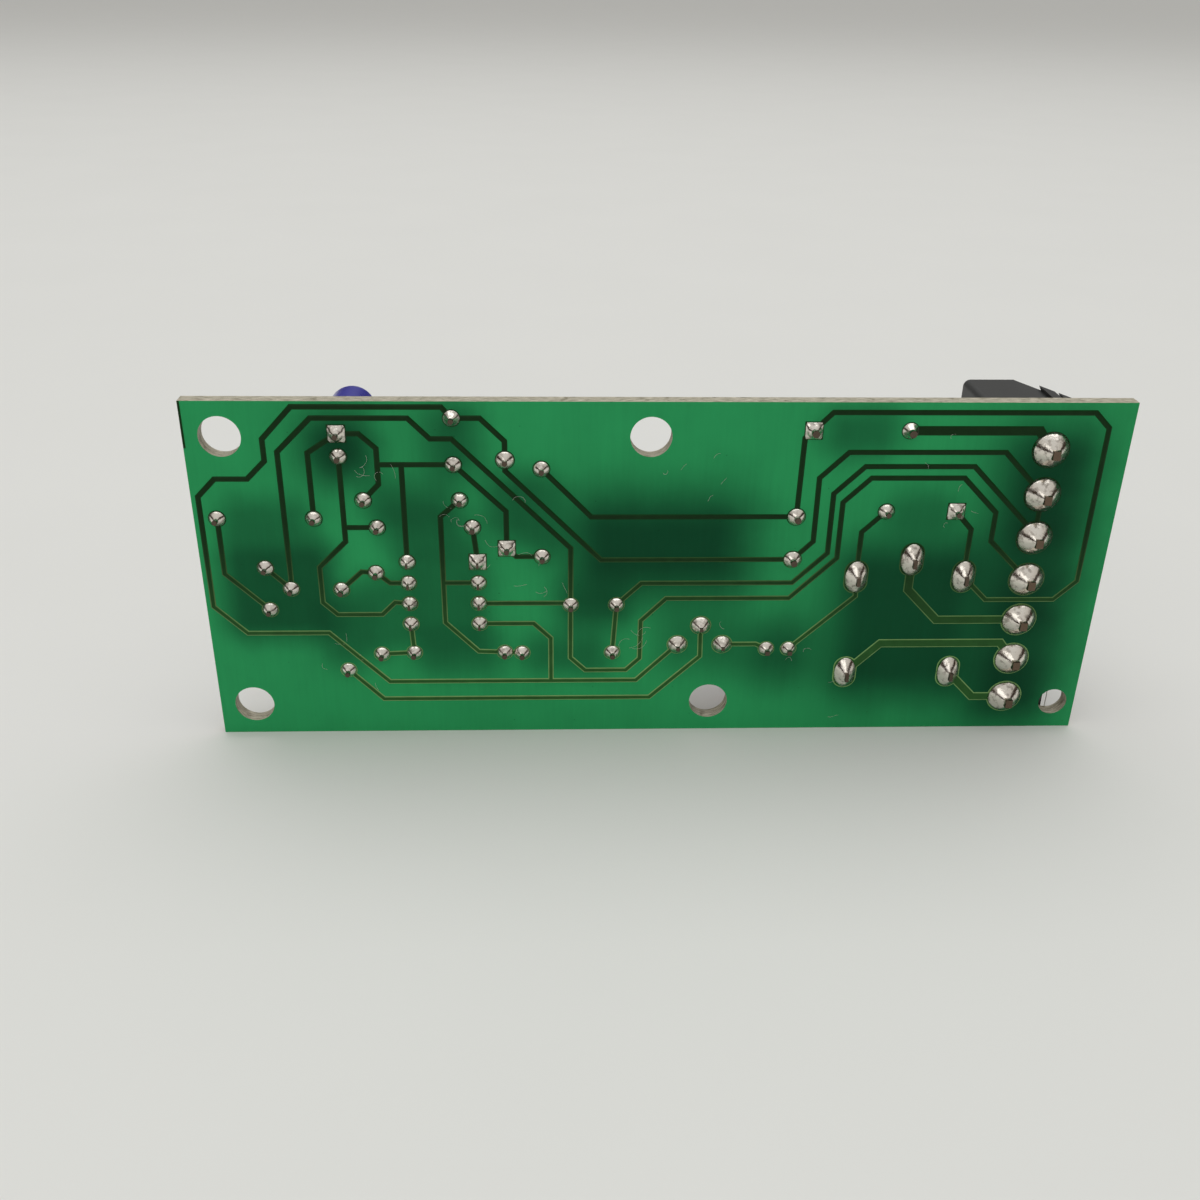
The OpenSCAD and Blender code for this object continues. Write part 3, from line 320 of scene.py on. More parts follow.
@dataclass(frozen=True)
class MouldedPlastic:
    """A moulded plastic with a fine spark-eroded grain, flow marks and specks of dust."""

    FLOW_MM = 3.2
    SPECK_MM = 0.3
    SPECKS_FROM = (0.6, 0.74)
    DENT_MM = 1.4
    DENT_SHARE = 0.8
    SHEEN = 0.16

    name: str
    colour: Colour
    roughness: float = 0.45
    grain_mm: float = 0.12
    grain_depth_mm: float = 0.006
    variation: float = 0.16
    dust: float = 0.05
    dust_colour: Colour = (0.55, 0.54, 0.5)

    def build(self) -> bpy.types.Material:
        """Makes the material.

        Returns:
            The material.
        """
        shade = Shade(self.name)
        clouds = shade.noise(self.FLOW_MM, detail=4)
        grain = shade.noise(self.grain_mm, detail=2)
        colour = shade.mottle(clouds, self.colour, 1 - self.variation, 1 + self.variation)
        specks = shade.step(shade.noise(self.SPECK_MM, detail=5), *self.SPECKS_FROM)
        colour = shade.mix(shade.times(specks, self.dust), colour, self.dust_colour)
        rough = shade.sway(self.roughness - self.SHEEN / 2, clouds, self.SHEEN)
        height = shade.sway(grain, shade.noise(self.DENT_MM), self.DENT_SHARE)
        normal = shade.bump(height, self.grain_depth_mm)
        return shade.surface(Base_Color=colour, Roughness=rough, Normal=normal)


@dataclass(frozen=True)
class PlatedMetal:
    """A plated metal with drawing marks, dull patches and tarnish, browner where a pin was clipped."""

    PATCHES_FROM = (0.48, 0.72)
    DULLING = 0.35
    CUT_FADE_MM = 0.05
    MARK_LENGTH = 4

    name: str
    colour: Colour
    tarnish: Colour
    roughness: float = 0.28
    patch_mm: float = 0.9
    mark_mm: float = 0.05
    depth_mm: float = 0.004
    tarnish_share: float = 0.5
    cut_end: Colour | None = None
    cut_mm: float = 1.05

    def build(self) -> bpy.types.Material:
        """Makes the material.

        Returns:
            The material.
        """
        shade = Shade(self.name)
        patches = shade.noise(self.patch_mm, detail=5)
        dull = shade.times(shade.step(patches, *self.PATCHES_FROM), self.tarnish_share)
        colour = shade.mix(dull, self.colour, self.tarnish)
        if self.cut_end is not None:
            start = PLANE.solder_face - self.cut_mm * MM
            past_cut = shade.step(shade.axes()[1], start, start - self.CUT_FADE_MM * MM)
            colour = shade.mix(past_cut, colour, self.cut_end)
        rough = shade.sway(self.roughness, dull, self.DULLING)
        fine = (1, self.MARK_LENGTH, self.MARK_LENGTH)
        marks = shade.noise(self.mark_mm * self.MARK_LENGTH, detail=2, stretch=fine)
        normal = shade.bump(shade.math("ADD", marks, patches), self.depth_mm)
        return shade.surface(Base_Color=colour, Metallic=1.0, Roughness=rough, Normal=normal)


@dataclass(frozen=True)
class GlazedCoat:
    """A dipped lacquer coat with a thick, uneven gloss and fine pores."""

    TONES = (0.78, 1.2)
    PORE_MM = 0.16
    PORES_FROM = (0.62, 0.72)
    PORE_SHARE = 0.25
    PORE_TONE = 0.45
    PORE_DEPTH = 0.1
    SHEEN = 0.15

    name: str
    colour: Colour
    roughness: float = 0.22
    wave_mm: float = 1.1
    wave_depth_mm: float = 0.04

    def build(self) -> bpy.types.Material:
        """Makes the material.

        Returns:
            The material.
        """
        shade = Shade(self.name)
        clouds = shade.noise(self.wave_mm, detail=4)
        pores = shade.step(shade.noise(self.PORE_MM), *self.PORES_FROM)
        colour = shade.mottle(clouds, self.colour, *self.TONES)
        colour = shade.mix(shade.times(pores, self.PORE_SHARE), colour, scaled(self.colour, self.PORE_TONE))
        height = shade.math("SUBTRACT", clouds, shade.times(pores, self.PORE_DEPTH))
        return shade.surface(
            Base_Color=colour,
            Roughness=shade.sway(self.roughness, clouds, self.SHEEN),
            Coat_Weight=0.35,
            Coat_Roughness=0.12,
            Normal=shade.bump(height, self.wave_depth_mm),
        )


@dataclass(frozen=True)
class Band:
    """A painted band on an axial part: how far along the body it sits, how wide it is and its colour."""

    along_mm: float
    width_mm: float
    colour: Colour


@dataclass(frozen=True)
class BandedCoat:
    """The coat of an axial part, with bands painted round it."""

    CLOUD_MM = 0.9
    TONES = (0.82, 1.15)
    WOBBLE_SIZE_MM = 0.5
    WOBBLE_MM = 0.12
    BLEED_MM = (0.05, 0.03)
    SMOOTHEST = 0.06
    SHEEN = 0.14
    COAT = 0.25
    PEEL_MM = 0.35
    PEEL_DEPTH_MM = 0.012

    name: str
    colour: Colour
    centre: Place
    axis: int
    bands: tuple[Band, ...]
    roughness: float = 0.3
    clear: float = 0.0

    def build(self) -> bpy.types.Material:
        """Makes the material.

        Returns:
            The material.
        """
        shade = Shade(self.name)
        along = shade.math("SUBTRACT", shade.axes()[self.axis], self.centre[self.axis])
        wobble = shade.math("SUBTRACT", shade.noise(self.WOBBLE_SIZE_MM, detail=2), 0.5)
        along = shade.sway(along, wobble, self.WOBBLE_MM * MM)
        clouds = shade.noise(self.CLOUD_MM, detail=4)
        colour = shade.mottle(clouds, self.colour, *self.TONES)
        outside, inside = (width * MM for width in self.BLEED_MM)
        for band in self.bands:
            off = shade.math("ABSOLUTE", shade.math("SUBTRACT", along, band.along_mm * MM))
            half = band.width_mm * MM / 2
            colour = shade.mix(shade.step(off, half + outside, half - inside), colour, band.colour)
        return shade.surface(
            Base_Color=colour,
            Roughness=shade.sway(self.roughness - self.SMOOTHEST, clouds, self.SHEEN),
            Coat_Weight=self.COAT + self.clear / 2,
            Coat_Roughness=0.1,
            Normal=shade.bump(shade.noise(self.PEEL_MM), self.PEEL_DEPTH_MM),
        )


@dataclass(frozen=True)
class SleeveFilm:
    """A shrunk sleeve with a lighter stripe down one side, that carries a row of minus marks."""

    CLOUD_MM = 2.4
    TONES = (0.85, 1.15)
    STRIPE_BLUR = 0.02
    DASH_ENDS = (0.26, 0.24)
    DASH_ANGLES = (0.15, 0.12)
    DASH_TONE = 0.7
    WRINKLE_MM = 0.8
    WRINKLE_DEPTH_MM = 0.02
    GRAIN_MM = 0.12
    GRAIN_SHARE = 0.15
    SHEEN = 0.12

    name: str
    colour: Colour
    stripe: Colour
    centre: Place
    axis: int
    facing: Place
    half_angle: float
    dash_pitch_mm: float
    roughness: float = 0.22

    def build(self) -> bpy.types.Material:
        """Makes the material.

        Returns:
            The material.
        """
        shade = Shade(self.name)
        across = tuple(0.0 if axis == self.axis else 1.0 for axis in range(3))
        off_axis = shade.vector("MULTIPLY", shade.vector("SUBTRACT", shade.place, self.centre), across)
        near = shade.vector("DOT_PRODUCT", shade.vector("NORMALIZE", off_axis), self.facing)
        blur = self.STRIPE_BLUR
        stripe = shade.step(near, math.cos(self.half_angle + blur), math.cos(self.half_angle - blur))
        along = shade.math("SUBTRACT", shade.axes()[self.axis], self.centre[self.axis])
        turn = shade.math("FRACT", shade.math("DIVIDE", along, self.dash_pitch_mm * MM))
        phase = shade.math("ABSOLUTE", shade.math("SUBTRACT", turn, 0.5))
        in_row = shade.step(near, *(math.cos(angle) for angle in self.DASH_ANGLES))
        dash = shade.times(shade.step(phase, *self.DASH_ENDS), in_row)
        clouds = shade.noise(self.CLOUD_MM)
        colour = shade.mottle(clouds, self.colour, *self.TONES)
        colour = shade.mix(stripe, colour, self.stripe)
        colour = shade.mix(dash, colour, scaled(self.colour, self.DASH_TONE))
        wrinkle = shade.noise(self.WRINKLE_MM)
        wrinkle = shade.sway(wrinkle, shade.noise(self.GRAIN_MM, detail=2), self.GRAIN_SHARE)
        return shade.surface(
            Base_Color=colour,
            Roughness=shade.sway(self.roughness, clouds, self.SHEEN),
            Coat_Weight=0.3,
            Coat_Roughness=0.15,
            Normal=shade.bump(wrinkle, self.WRINKLE_DEPTH_MM),
        )


@dataclass(frozen=True)
class LensEpoxy:
    """The tinted clear epoxy of an indicator lens."""

    TINT_MM = 1.5
    DEEPEST = 0.8
    HAZE_MM = 0.6
    HAZE = 0.08
    RIPPLE_MM = 1.0
    RIPPLE_DEPTH_MM = 0.006

    name: str
    colour: Colour
    roughness: float = 0.06

    def build(self) -> bpy.types.Material:
        """Makes the material.

        Returns:
            The material.
        """
        shade = Shade(self.name)
        tint = shade.mix(shade.noise(self.TINT_MM, detail=2), self.colour, scaled(self.colour, self.DEEPEST))
        return shade.surface(
            Base_Color=tint,
            Roughness=shade.sway(self.roughness, shade.noise(self.HAZE_MM), self.HAZE),
            Transmission_Weight=0.75,
            IOR=1.52,
            Normal=shade.bump(shade.noise(self.RIPPLE_MM, detail=2), self.RIPPLE_DEPTH_MM),
        )


class Seat(Enum):
    """How a part meets the board: the share of its radius by which its dark core is smaller than its box.

    A part that is round, or open at its sides like the terminal housings, lets light in under its edges.
    """

    FLAT = 0.45
    ROUND = 0.75


@dataclass(frozen=True)
class Silhouette:
    """A part on the far side that dims the light coming through the laminate.

    It has a middle, half sizes and bulk, how far its shade fades out, and how much of the light it takes.
    """

    DARKEST = 0.9
    BULK_MM = 2.5
    STANDOFF_MM = 4.0
    SPREAD_MM = 3.8
    LEAN = 0.2
    HALO_REACH = 0.6
    HALO_DEPTH = 0.42
    HALO_FULL_MM = 15.0
    HALO_FROM_MM = 4.5

    x_mm: float
    z_mm: float
    half_x_mm: float
    half_z_mm: float
    bulk_mm: float
    fade_mm: float
    depth: float

    @classmethod
    def of(cls, node: str, seat: Seat) -> "Silhouette":
        """Works out a part's shade from its box. A bulkier part takes more light, one standing off less.

        Args:
            node: The CAD node that casts it.
            seat: How the part meets the board.

        Returns:
            The silhouette.
        """
        low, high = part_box(node)
        half_x, half_z = (high.x - low.x) / MM / 2, (high.z - low.z) / MM / 2
        bulk = (high.y - low.y) / MM
        standoff = max(low.y - PLANE.component_face, 0.0) / MM
        curve = min(half_x, half_z, bulk / 2) * seat.value
        x = ((low.x + high.x) / 2 - PLANE.left) / MM
        z = ((low.z + high.z) / 2 - PLANE.low) / MM - curve * cls.LEAN
        depth = cls.DARKEST * (1 - math.exp(-bulk / cls.BULK_MM)) / (1 + standoff / cls.STANDOFF_MM)
        fade = cls.SPREAD_MM + curve + standoff / 2
        return cls(x, z, max(half_x - curve, 0.0), max(half_z - curve, 0.0), bulk, fade, depth)

    @property
    def bulky(self) -> bool:
        """Tells whether the part is bulky enough to shade the board round it."""
        return self.bulk_mm > self.HALO_FROM_MM

    def halo(self) -> "Silhouette":
        """Gives the wider, fainter shade round a bulky part, which grows with its bulk.

        Returns:
            The halo, as a silhouette of its own.
        """
        fade = self.SPREAD_MM + self.bulk_mm * self.HALO_REACH
        depth = self.depth * self.HALO_DEPTH * min(self.bulk_mm / self.HALO_FULL_MM, 1.0)
        return replace(self, fade_mm=fade, depth=depth)


def silhouettes() -> list[Silhouette]:
    """Lists what shows through the laminate: every bulky part on the far side, placed by the frame.

    Returns:
        The silhouettes and their halos.
    """
    flat = ("trimmer_body", "ic_body", "relay_case", "transistor_body")
    cylinders = ("large_capacitor_sleeve", "small_capacitor_sleeve", "indicator_lens")
    turned = (*HOUSINGS, *cylinders, "signal_diode", "zener_diode", "rectifier_diode", *DISCS, *RESISTORS)
    found = []
    for seat, nodes in ((Seat.FLAT, flat), (Seat.ROUND, turned)):
        for node in nodes:
            mark = Silhouette.of(node, seat)
            found += [mark, mark.halo()] if mark.bulky else [mark]
    return found


class MaskPaint:
    """The green mask's own colours, and the light that comes through the laminate behind it, painted into its
    colour as light and shade.
    """

    GAIN = 1.5
    COPPER_GAIN = 1.6
    # Painted light and shade: the first green is the mask where the full light comes through from behind, the
    # second where parts behind take it.
    FULLY_BACKLIT = scaled(srgb(36, 134, 79), GAIN)
    SHADED = scaled(srgb(0, 47, 27), GAIN)
    SPECK = scaled(SHADED, 0.6)
    # Painted reflection: the copper's colour high on the board, nearly black, and low on it, olive and lit.
    COPPER_SHADED_HIGH = scaled(srgb(13, 38, 14), COPPER_GAIN)
    COPPER_LIT_LOW = scaled(srgb(36, 76, 34), COPPER_GAIN)
    # Painted highlight on the tracks' sloping edges, high on the board and low on it.
    RIDGE_HIGHLIGHT_HIGH = scaled(srgb(12, 48, 18), COPPER_GAIN)
    RIDGE_HIGHLIGHT_LOW = scaled(srgb(104, 138, 84), COPPER_GAIN)
    # Heights between which the painted reflection and highlight on the copper turn from dark to lit.
    SHADED_ABOVE_MM = 26
    LIT_BELOW_MM = 7
    DRIFT_SIZE_MM = 3.5
    DRIFT_MM = 1.1
    DULLEST = 0.79
    STREAK_MM = 0.35
    STREAK_STRETCH = (1.0, 1.0, 0.06)
    STREAK_SHARE = 0.14
    CLOUD_MM = 7.0
    CLOUD_SHARE = 0.3
    COPPER_DULLEST = 0.75
    COPPER_CLOUD_MM = 1.2
    COPPER_CLOUD_SHARE = 0.5
    SPECK_SPACING_MM = 2.1
    SPECK_EDGE = (0.05, 0.02)
    SPECK_SHARE = 0.4

    @classmethod
    def light(cls, shade: Shade) -> bpy.types.NodeSocket:
        """Gives the share of the light that comes through at the shaded point.

        Args:
            shade: The material under construction.

        Returns:
            A number from 0 to 1.
        """
        drift = shade.add("ShaderNodeTexNoise")
        shade.feed(drift.inputs["Vector"], shade.place)
        drift.inputs["Scale"].default_value = 1 / (cls.DRIFT_SIZE_MM * MM)
        wander = shade.vector("SUBTRACT", drift.outputs["Color"], (0.5, 0.5, 0.5))
        wander = shade.vector("SCALE", wander, cls.DRIFT_MM * MM)
        place = shade.vector("MULTIPLY", shade.vector("ADD", shade.place, wander), (1.0, 0.0, 1.0))
        light: Any = 1.0
        for mark in silhouettes():
            middle = PLANE.at(mark.x_mm, mark.z_mm)
            half = (mark.half_x_mm * MM, 0.0, mark.half_z_mm * MM)
            off = shade.vector("ABSOLUTE", shade.vector("SUBTRACT", place, (middle.x, 0.0, middle.z)))
            off = shade.vector("MAXIMUM", shade.vector("SUBTRACT", off, half))
            near = shade.step(shade.vector("LENGTH", off), mark.fade_mm * MM, 0.0)
            light = shade.times(light, shade.math("SUBTRACT", 1.0, shade.times(near, mark.depth)))
        return light

    @classmethod
    def mask(cls, shade: Shade) -> bpy.types.NodeSocket:
        """Gives the mask's colour over bare laminate.

        Args:
            shade: The material under construction.

        Returns:
            The colour's socket.
        """
        # Painted shade of the parts behind, mixed into the mask's base colour.
        colour = shade.mix(cls.light(shade), cls.SHADED, cls.FULLY_BACKLIT)
        streaks = shade.times(shade.noise(cls.STREAK_MM, stretch=cls.STREAK_STRETCH), cls.STREAK_SHARE)
        tone = shade.sway(streaks, shade.noise(cls.CLOUD_MM, detail=4), cls.CLOUD_SHARE)
        colour = shade.vector("SCALE", colour, shade.math("ADD", tone, cls.DULLEST))
        specks = shade.step(shade.cells(cls.SPECK_SPACING_MM), *cls.SPECK_EDGE)
        return shade.mix(shade.times(specks, cls.SPECK_SHARE), colour, cls.SPECK)

    @classmethod
    def over_copper(cls, shade: Shade, ridge: Any) -> bpy.types.NodeSocket:
        """Gives the mask's colour over copper, with a painted reflection that is nearly black high on the
        board and olive low on it, and a painted highlight on the tracks' sloping edges.

        Args:
            shade: The material under construction.
            ridge: 1 on a track's sloping edge and 0 on its flat.

        Returns:
            The colour's socket.
        """
        # Painted reflection: the copper darkens with height on the board.
        high, low = (PLANE.low + level * MM for level in (cls.SHADED_ABOVE_MM, cls.LIT_BELOW_MM))
        lowness = shade.step(shade.axes()[2], high, low)
        flat = shade.mix(lowness, cls.COPPER_SHADED_HIGH, cls.COPPER_LIT_LOW)
        # Painted highlight: the lighter colour of the tracks' sloping edges.
        edge = shade.mix(lowness, cls.RIDGE_HIGHLIGHT_HIGH, cls.RIDGE_HIGHLIGHT_LOW)
        clouds = shade.noise(cls.COPPER_CLOUD_MM, detail=4)
        tone = shade.sway(cls.COPPER_DULLEST, clouds, cls.COPPER_CLOUD_SHARE)
        return shade.vector("SCALE", shade.mix(ridge, flat, edge), tone)


class LaminateFinish:
    """The board's own material: mask in front, bare laminate behind, sawn edges and drilled walls."""

    EDGE = scaled(srgb(196, 190, 172), 1.1)
    EDGE_DARK = srgb(122, 118, 96)
    BACK = srgb(206, 200, 168)
    BACK_DARK = srgb(176, 170, 132)
    FACE_DEPTH_MM = 0.004
    FIBRE_MM = 0.12
    FIBRE_STRETCH = (0.12, 2.0, 0.12)
    FIBRES_FROM = (0.36, 0.62)
    STAIN_MM = 0.9
    STAINS_FROM = (0.55, 0.75)
    WEAVE_MM = 0.5
    WEAVE_SHARE = 0.3
    BACK_STAIN_MM = 6.0
    BACK_STAIN_SHARE = 0.5
    BARE_ROUGHNESS = 0.62
    MASK_ROUGHNESS = 0.3
    MASK_SHEEN = 0.2
    MASK_CLOUD_MM = 2.2
    SCRATCH_MM = 0.05
    SCRATCH_STRETCH = (0.05, 1.0, 1.4)
    SCRATCH_SHARE = 0.12
    FILM_MM = 1.6
    FILM_SHARE = 0.6
    BARE_GLOSS = 0.5
    MASK_GLOSS_LOSS = 0.42
    RELIEF_MM = 0.03

    def edge(self, shade: Shade, fibres: Any) -> bpy.types.NodeSocket:
        """Gives the colour of a sawn edge.

        Args:
            shade: The material under construction.
            fibres: The pattern of cut glass fibres.

        Returns:
            The colour's socket.
        """
        sawn = shade.mix(shade.step(fibres, *self.FIBRES_FROM), self.EDGE_DARK, self.EDGE)
        stains = shade.step(shade.noise(self.STAIN_MM), *self.STAINS_FROM)
        return shade.mix(stains, sawn, self.EDGE_DARK)

    def back(self, shade: Shade) -> bpy.types.NodeSocket:
        """Gives the colour of the bare side, with the weave of the glass cloth.

        Args:
            shade: The material under construction.

        Returns:
            The colour's socket.
        """
        x, _, z = shade.axes()
        turns = math.tau / (self.WEAVE_MM * MM)
        warp, weft = (shade.math("SINE", shade.times(axis, turns)) for axis in (x, z))
        weave = shade.sway(0.5, shade.times(warp, weft), self.WEAVE_SHARE)
        bare = shade.mix(weave, self.BACK_DARK, self.BACK)
        stains = shade.times(shade.noise(self.BACK_STAIN_MM, detail=5), self.BACK_STAIN_SHARE)
        return shade.mix(stains, bare, self.BACK_DARK)

    def build(self) -> bpy.types.Material:
        """Makes the material.

        Returns:
            The material.
        """
        shade = Shade("masked_laminate")
        y = shade.axes()[1]
        in_front = shade.math("LESS_THAN", y, PLANE.solder_face + self.FACE_DEPTH_MM * MM)
        behind = shade.math("GREATER_THAN", y, PLANE.component_face - self.FACE_DEPTH_MM * MM)
        fibres = shade.noise(self.FIBRE_MM, detail=4, stretch=self.FIBRE_STRETCH)
        unmasked = shade.mix(behind, self.edge(shade, fibres), self.back(shade))
        clouds = shade.noise(self.MASK_CLOUD_MM, detail=4)
        face_roughness = shade.sway(self.MASK_ROUGHNESS, clouds, self.MASK_SHEEN)
        change = shade.math("SUBTRACT", face_roughness, self.BARE_ROUGHNESS)
        scratches = shade.noise(self.SCRATCH_MM, detail=2, stretch=self.SCRATCH_STRETCH)
        film = shade.times(shade.noise(self.FILM_MM, detail=4), self.FILM_SHARE)
        film = shade.sway(film, scratches, self.SCRATCH_SHARE)
        elsewhere = shade.math("SUBTRACT", 1.0, in_front)
        height = shade.sway(shade.times(in_front, film), elsewhere, fibres)
        return shade.surface(
            Base_Color=shade.mix(in_front, unmasked, MaskPaint.mask(shade)),
            Roughness=shade.sway(self.BARE_ROUGHNESS, in_front, change),
            Specular_IOR_Level=shade.math(
                "SUBTRACT", self.BARE_GLOSS, shade.times(in_front, self.MASK_GLOSS_LOSS)),
            Normal=shade.bump(height, self.RELIEF_MM),
        )


@dataclass(frozen=True)
class TrackFilm:
    """The mask over the copper, with a painted highlight on the tracks' sloping sides."""

    name: str = "masked_copper"
    attribute: str = "ridge"
    slope_from: tuple[float, float] = (0.1, 0.6)
    roughness: float = 0.26
    sheen: float = 0.2
    sheen_mm: float = 1.1
    ripple_mm: float = 0.5
    ripple_depth_mm: float = 0.012

    def build(self) -> bpy.types.Material:
        """Makes the material.

        Returns:
            The material.
        """
        shade = Shade(self.name)
        ridge = shade.add("ShaderNodeAttribute", attribute_name=self.attribute).outputs["Fac"]
        return shade.surface(
            Base_Color=MaskPaint.over_copper(shade, shade.step(ridge, *self.slope_from)),
            Roughness=shade.sway(self.roughness, shade.noise(self.sheen_mm), self.sheen),
            Specular_IOR_Level=0.1,
            Normal=shade.bump(shade.noise(self.ripple_mm, detail=4), self.ripple_depth_mm),
        )


@dataclass(frozen=True)
class SolderFinish:
    """Bright solder with frosted patches, and flux left in its low places."""

    PATCH_MM = 0.55
    FROST_FROM = (0.5, 0.68)
    FROST_ROUGHNESS = 0.22
    FLUX_MM = 0.35
    FLUX_FROM = (0.5, 0.75)
    FLUX_COVER = 0.7
    PIT_MM = 0.16
    PIT_DEPTH_MM = 0.012
    PATCH_HEIGHT = 2.0

    name: str
    colour: Colour
    frost: Colour
    flux: Colour
    roughness: float = 0.1

    def build(self) -> bpy.types.Material:
        """Makes the material.

        Returns:
            The material.
        """
        shade = Shade(self.name)
        low = shade.add("ShaderNodeAttribute", attribute_name="flux").outputs["Fac"]
        patches = shade.noise(self.PATCH_MM, detail=5)
        frosted = shade.step(patches, *self.FROST_FROM)
        residue = shade.times(low, shade.step(shade.noise(self.FLUX_MM, detail=4), *self.FLUX_FROM))
        height = shade.sway(shade.noise(self.PIT_MM, detail=4), patches, self.PATCH_HEIGHT)
        return shade.surface(
            Base_Color=shade.mix(residue, shade.mix(frosted, self.colour, self.frost), self.flux),
            Metallic=shade.math("SUBTRACT", 1.0, shade.times(residue, self.FLUX_COVER)),
            Roughness=shade.sway(self.roughness, frosted, self.FROST_ROUGHNESS),
            Normal=shade.bump(height, self.PIT_DEPTH_MM),
        )


# ---- Geometry Nodes and plain meshes ----


class FlowTree:
    """A Geometry Nodes tree under construction, with named inputs."""

    def __init__(self, name: str) -> None:
        """Starts a tree that takes and gives geometry.

        Args:
            name: The tree's name.
        """
        self.tree = bpy.data.node_groups.new(name, "GeometryNodeTree")
        for way in ("INPUT", "OUTPUT"):
            self.tree.interface.new_socket("Geometry", in_out=way, socket_type="NodeSocketGeometry")
        self.start = self.tree.nodes.new("NodeGroupInput")
        self.end = self.tree.nodes.new("NodeGroupOutput")
        self.values: dict[str, Any] = {}

    def input(self, label: str, kind: str, value: Any) -> bpy.types.NodeSocket:
        """Adds a named input.

        Args:
            label: Its name.
            kind: Its socket type, such as "Float".
            value: What the piece is made with.

        Returns:
            The socket that gives it inside the tree.
        """
        socket = self.tree.interface.new_socket(label, in_out="INPUT", socket_type=f"NodeSocket{kind}")
        self.values[socket.identifier] = value
        return self.start.outputs[label]

    def add(self, kind: str, inputs: dict[Any, Any] | None = None, output: Any = 0, **settings: Any) -> Any:
        """Adds a node, sets its properties and feeds its inputs.

        Args:
            kind: The node's type.
            inputs: What each input is fed with: a socket, a list of sockets or a constant.
            output: Which of its outputs is wanted.
            **settings: The node's properties.

        Returns:
            The output's socket.
        """
        node = self.tree.nodes.new(kind)
        for key, value in settings.items():
            setattr(node, key, value)
        for key, value in (inputs or {}).items():
            for one in value if isinstance(value, list) else [value]:
                if isinstance(one, bpy.types.NodeSocket):
                    self.tree.links.new(one, node.inputs[key])
                else:
                    node.inputs[key].default_value = one
        return node.outputs[output]

    def math(self, operation: str, a: Any, b: Any) -> bpy.types.NodeSocket:
        """Joins two numbers."""
        return self.add("ShaderNodeMath", {0: a, 1: b}, operation=operation)

    def sweep(self, curve: bpy.types.NodeSocket, profile: bpy.types.NodeSocket) -> bpy.types.NodeSocket:
        """Sweeps a profile along a curve, with closed ends."""
        inputs = {"Curve": curve, "Profile Curve": profile, "Fill Caps": True}
        return self.add("GeometryNodeCurveToMesh", inputs)

    def named(self, label: str, kind: str) -> bpy.types.NodeSocket:
        """Reads an attribute of the points."""
        return self.add("GeometryNodeInputNamedAttribute", {"Name": label}, "Attribute", data_type=kind)

    def finish(self, geometry: bpy.types.NodeSocket, material: bpy.types.NodeSocket, smooth: bool) -> None:
        """Realizes the geometry, and gives it its shading and material.

        Args:
            geometry: What the tree has made.
            material: The input that holds its material.
            smooth: Whether it is shaded smooth.
        """
        real = self.add("GeometryNodeRealizeInstances", {"Geometry": geometry})
        shaded = self.add("GeometryNodeSetShadeSmooth", {"Geometry": real, "Shade Smooth": smooth})
        dressed = self.add("GeometryNodeSetMaterial", {"Geometry": shaded, "Material": material})
        self.tree.links.new(dressed, self.end.inputs[0])

    def grow(self, name: str, seed_mesh: bpy.types.Mesh, slot: str, body: str = BODY) -> bpy.types.Object:
        """Runs the tree on a mesh, and keeps what it makes as a plain piece.

        Args:
            name: The piece's name.
            seed_mesh: What the tree starts from.
            slot: Not used.
            body: The body that carries it.

        Returns:
            The piece.
        """
        holder = bpy.data.objects.new(f"{name}_seed", seed_mesh)
        bpy.context.scene.collection.objects.link(holder)
        modifier = holder.modifiers.new("grow", "NODES")
        modifier.node_group = self.tree
        for identifier, value in self.values.items():
            modifier[identifier] = value
        graph = bpy.context.evaluated_depsgraph_get()
        made = holder.evaluated_get(graph)
        mesh = bpy.data.meshes.new_from_object(made, preserve_all_data_layers=True, depsgraph=graph)
        holder.modifiers.remove(modifier)
        bpy.data.objects.remove(holder)
        return place_piece(name, mesh, body)


def place_piece(name: str, mesh: bpy.types.Mesh, body: str = BODY) -> bpy.types.Object:
    """Puts a finished mesh in the scene, on its body.

    Args:
        name: The piece's name.
        mesh: The mesh, already in place.
        body: The body that carries it.

    Returns:
        The piece.
    """
    mesh.name = name
    piece = bpy.data.objects.new(name, mesh)
    bpy.context.scene.collection.objects.link(piece)
    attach(piece, body)
    log.info("%s: %d faces", name, len(mesh.polygons))
    return piece


def to_mesh(form: bmesh.types.BMesh, name: str, smooth: bool = False) -> bpy.types.Mesh:
    """Ends a bmesh as a mesh.

    Args:
        form: The bmesh, which is freed.
        name: The mesh's name.
        smooth: Whether its faces are shaded smooth.

    Returns:
        The mesh.
    """
    for face in form.faces:
        face.smooth = smooth
    mesh = bpy.data.meshes.new(name)
    form.to_mesh(mesh)
    form.free()
    return mesh


def merged_copy(node: str) -> bmesh.types.BMesh:
    """Copies a CAD node's mesh with its loose triangles joined.

    Args:
        node: The CAD node.

    Returns:
        The copy.
    """
    form = bmesh.new()
    form.from_mesh(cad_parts[node].data)
    bmesh.ops.remove_doubles(form, verts=form.verts, dist=SAME_POINT)
    return form


def islands(form: bmesh.types.BMesh) -> list[tuple[Vector, Vector]]:
    """Gives the box of each connected piece of a mesh.

    Args:
        form: The mesh.

    Returns:
        The lowest and the highest corner of each.
    """
    seen: set[int] = set()
    boxes = []
    form.verts.index_update()
    for first in form.verts:
        if first.index in seen:
            continue
        seen.add(first.index)
        todo, low, high = [first], first.co.copy(), first.co.copy()
        while todo:
            vert = todo.pop()
            low = Vector(map(min, low, vert.co))
            high = Vector(map(max, high, vert.co))
            for edge in vert.link_edges:
                other = edge.other_vert(vert)
                if other.index not in seen:
                    seen.add(other.index)
                    todo.append(other)
        boxes.append((low, high))
    return boxes


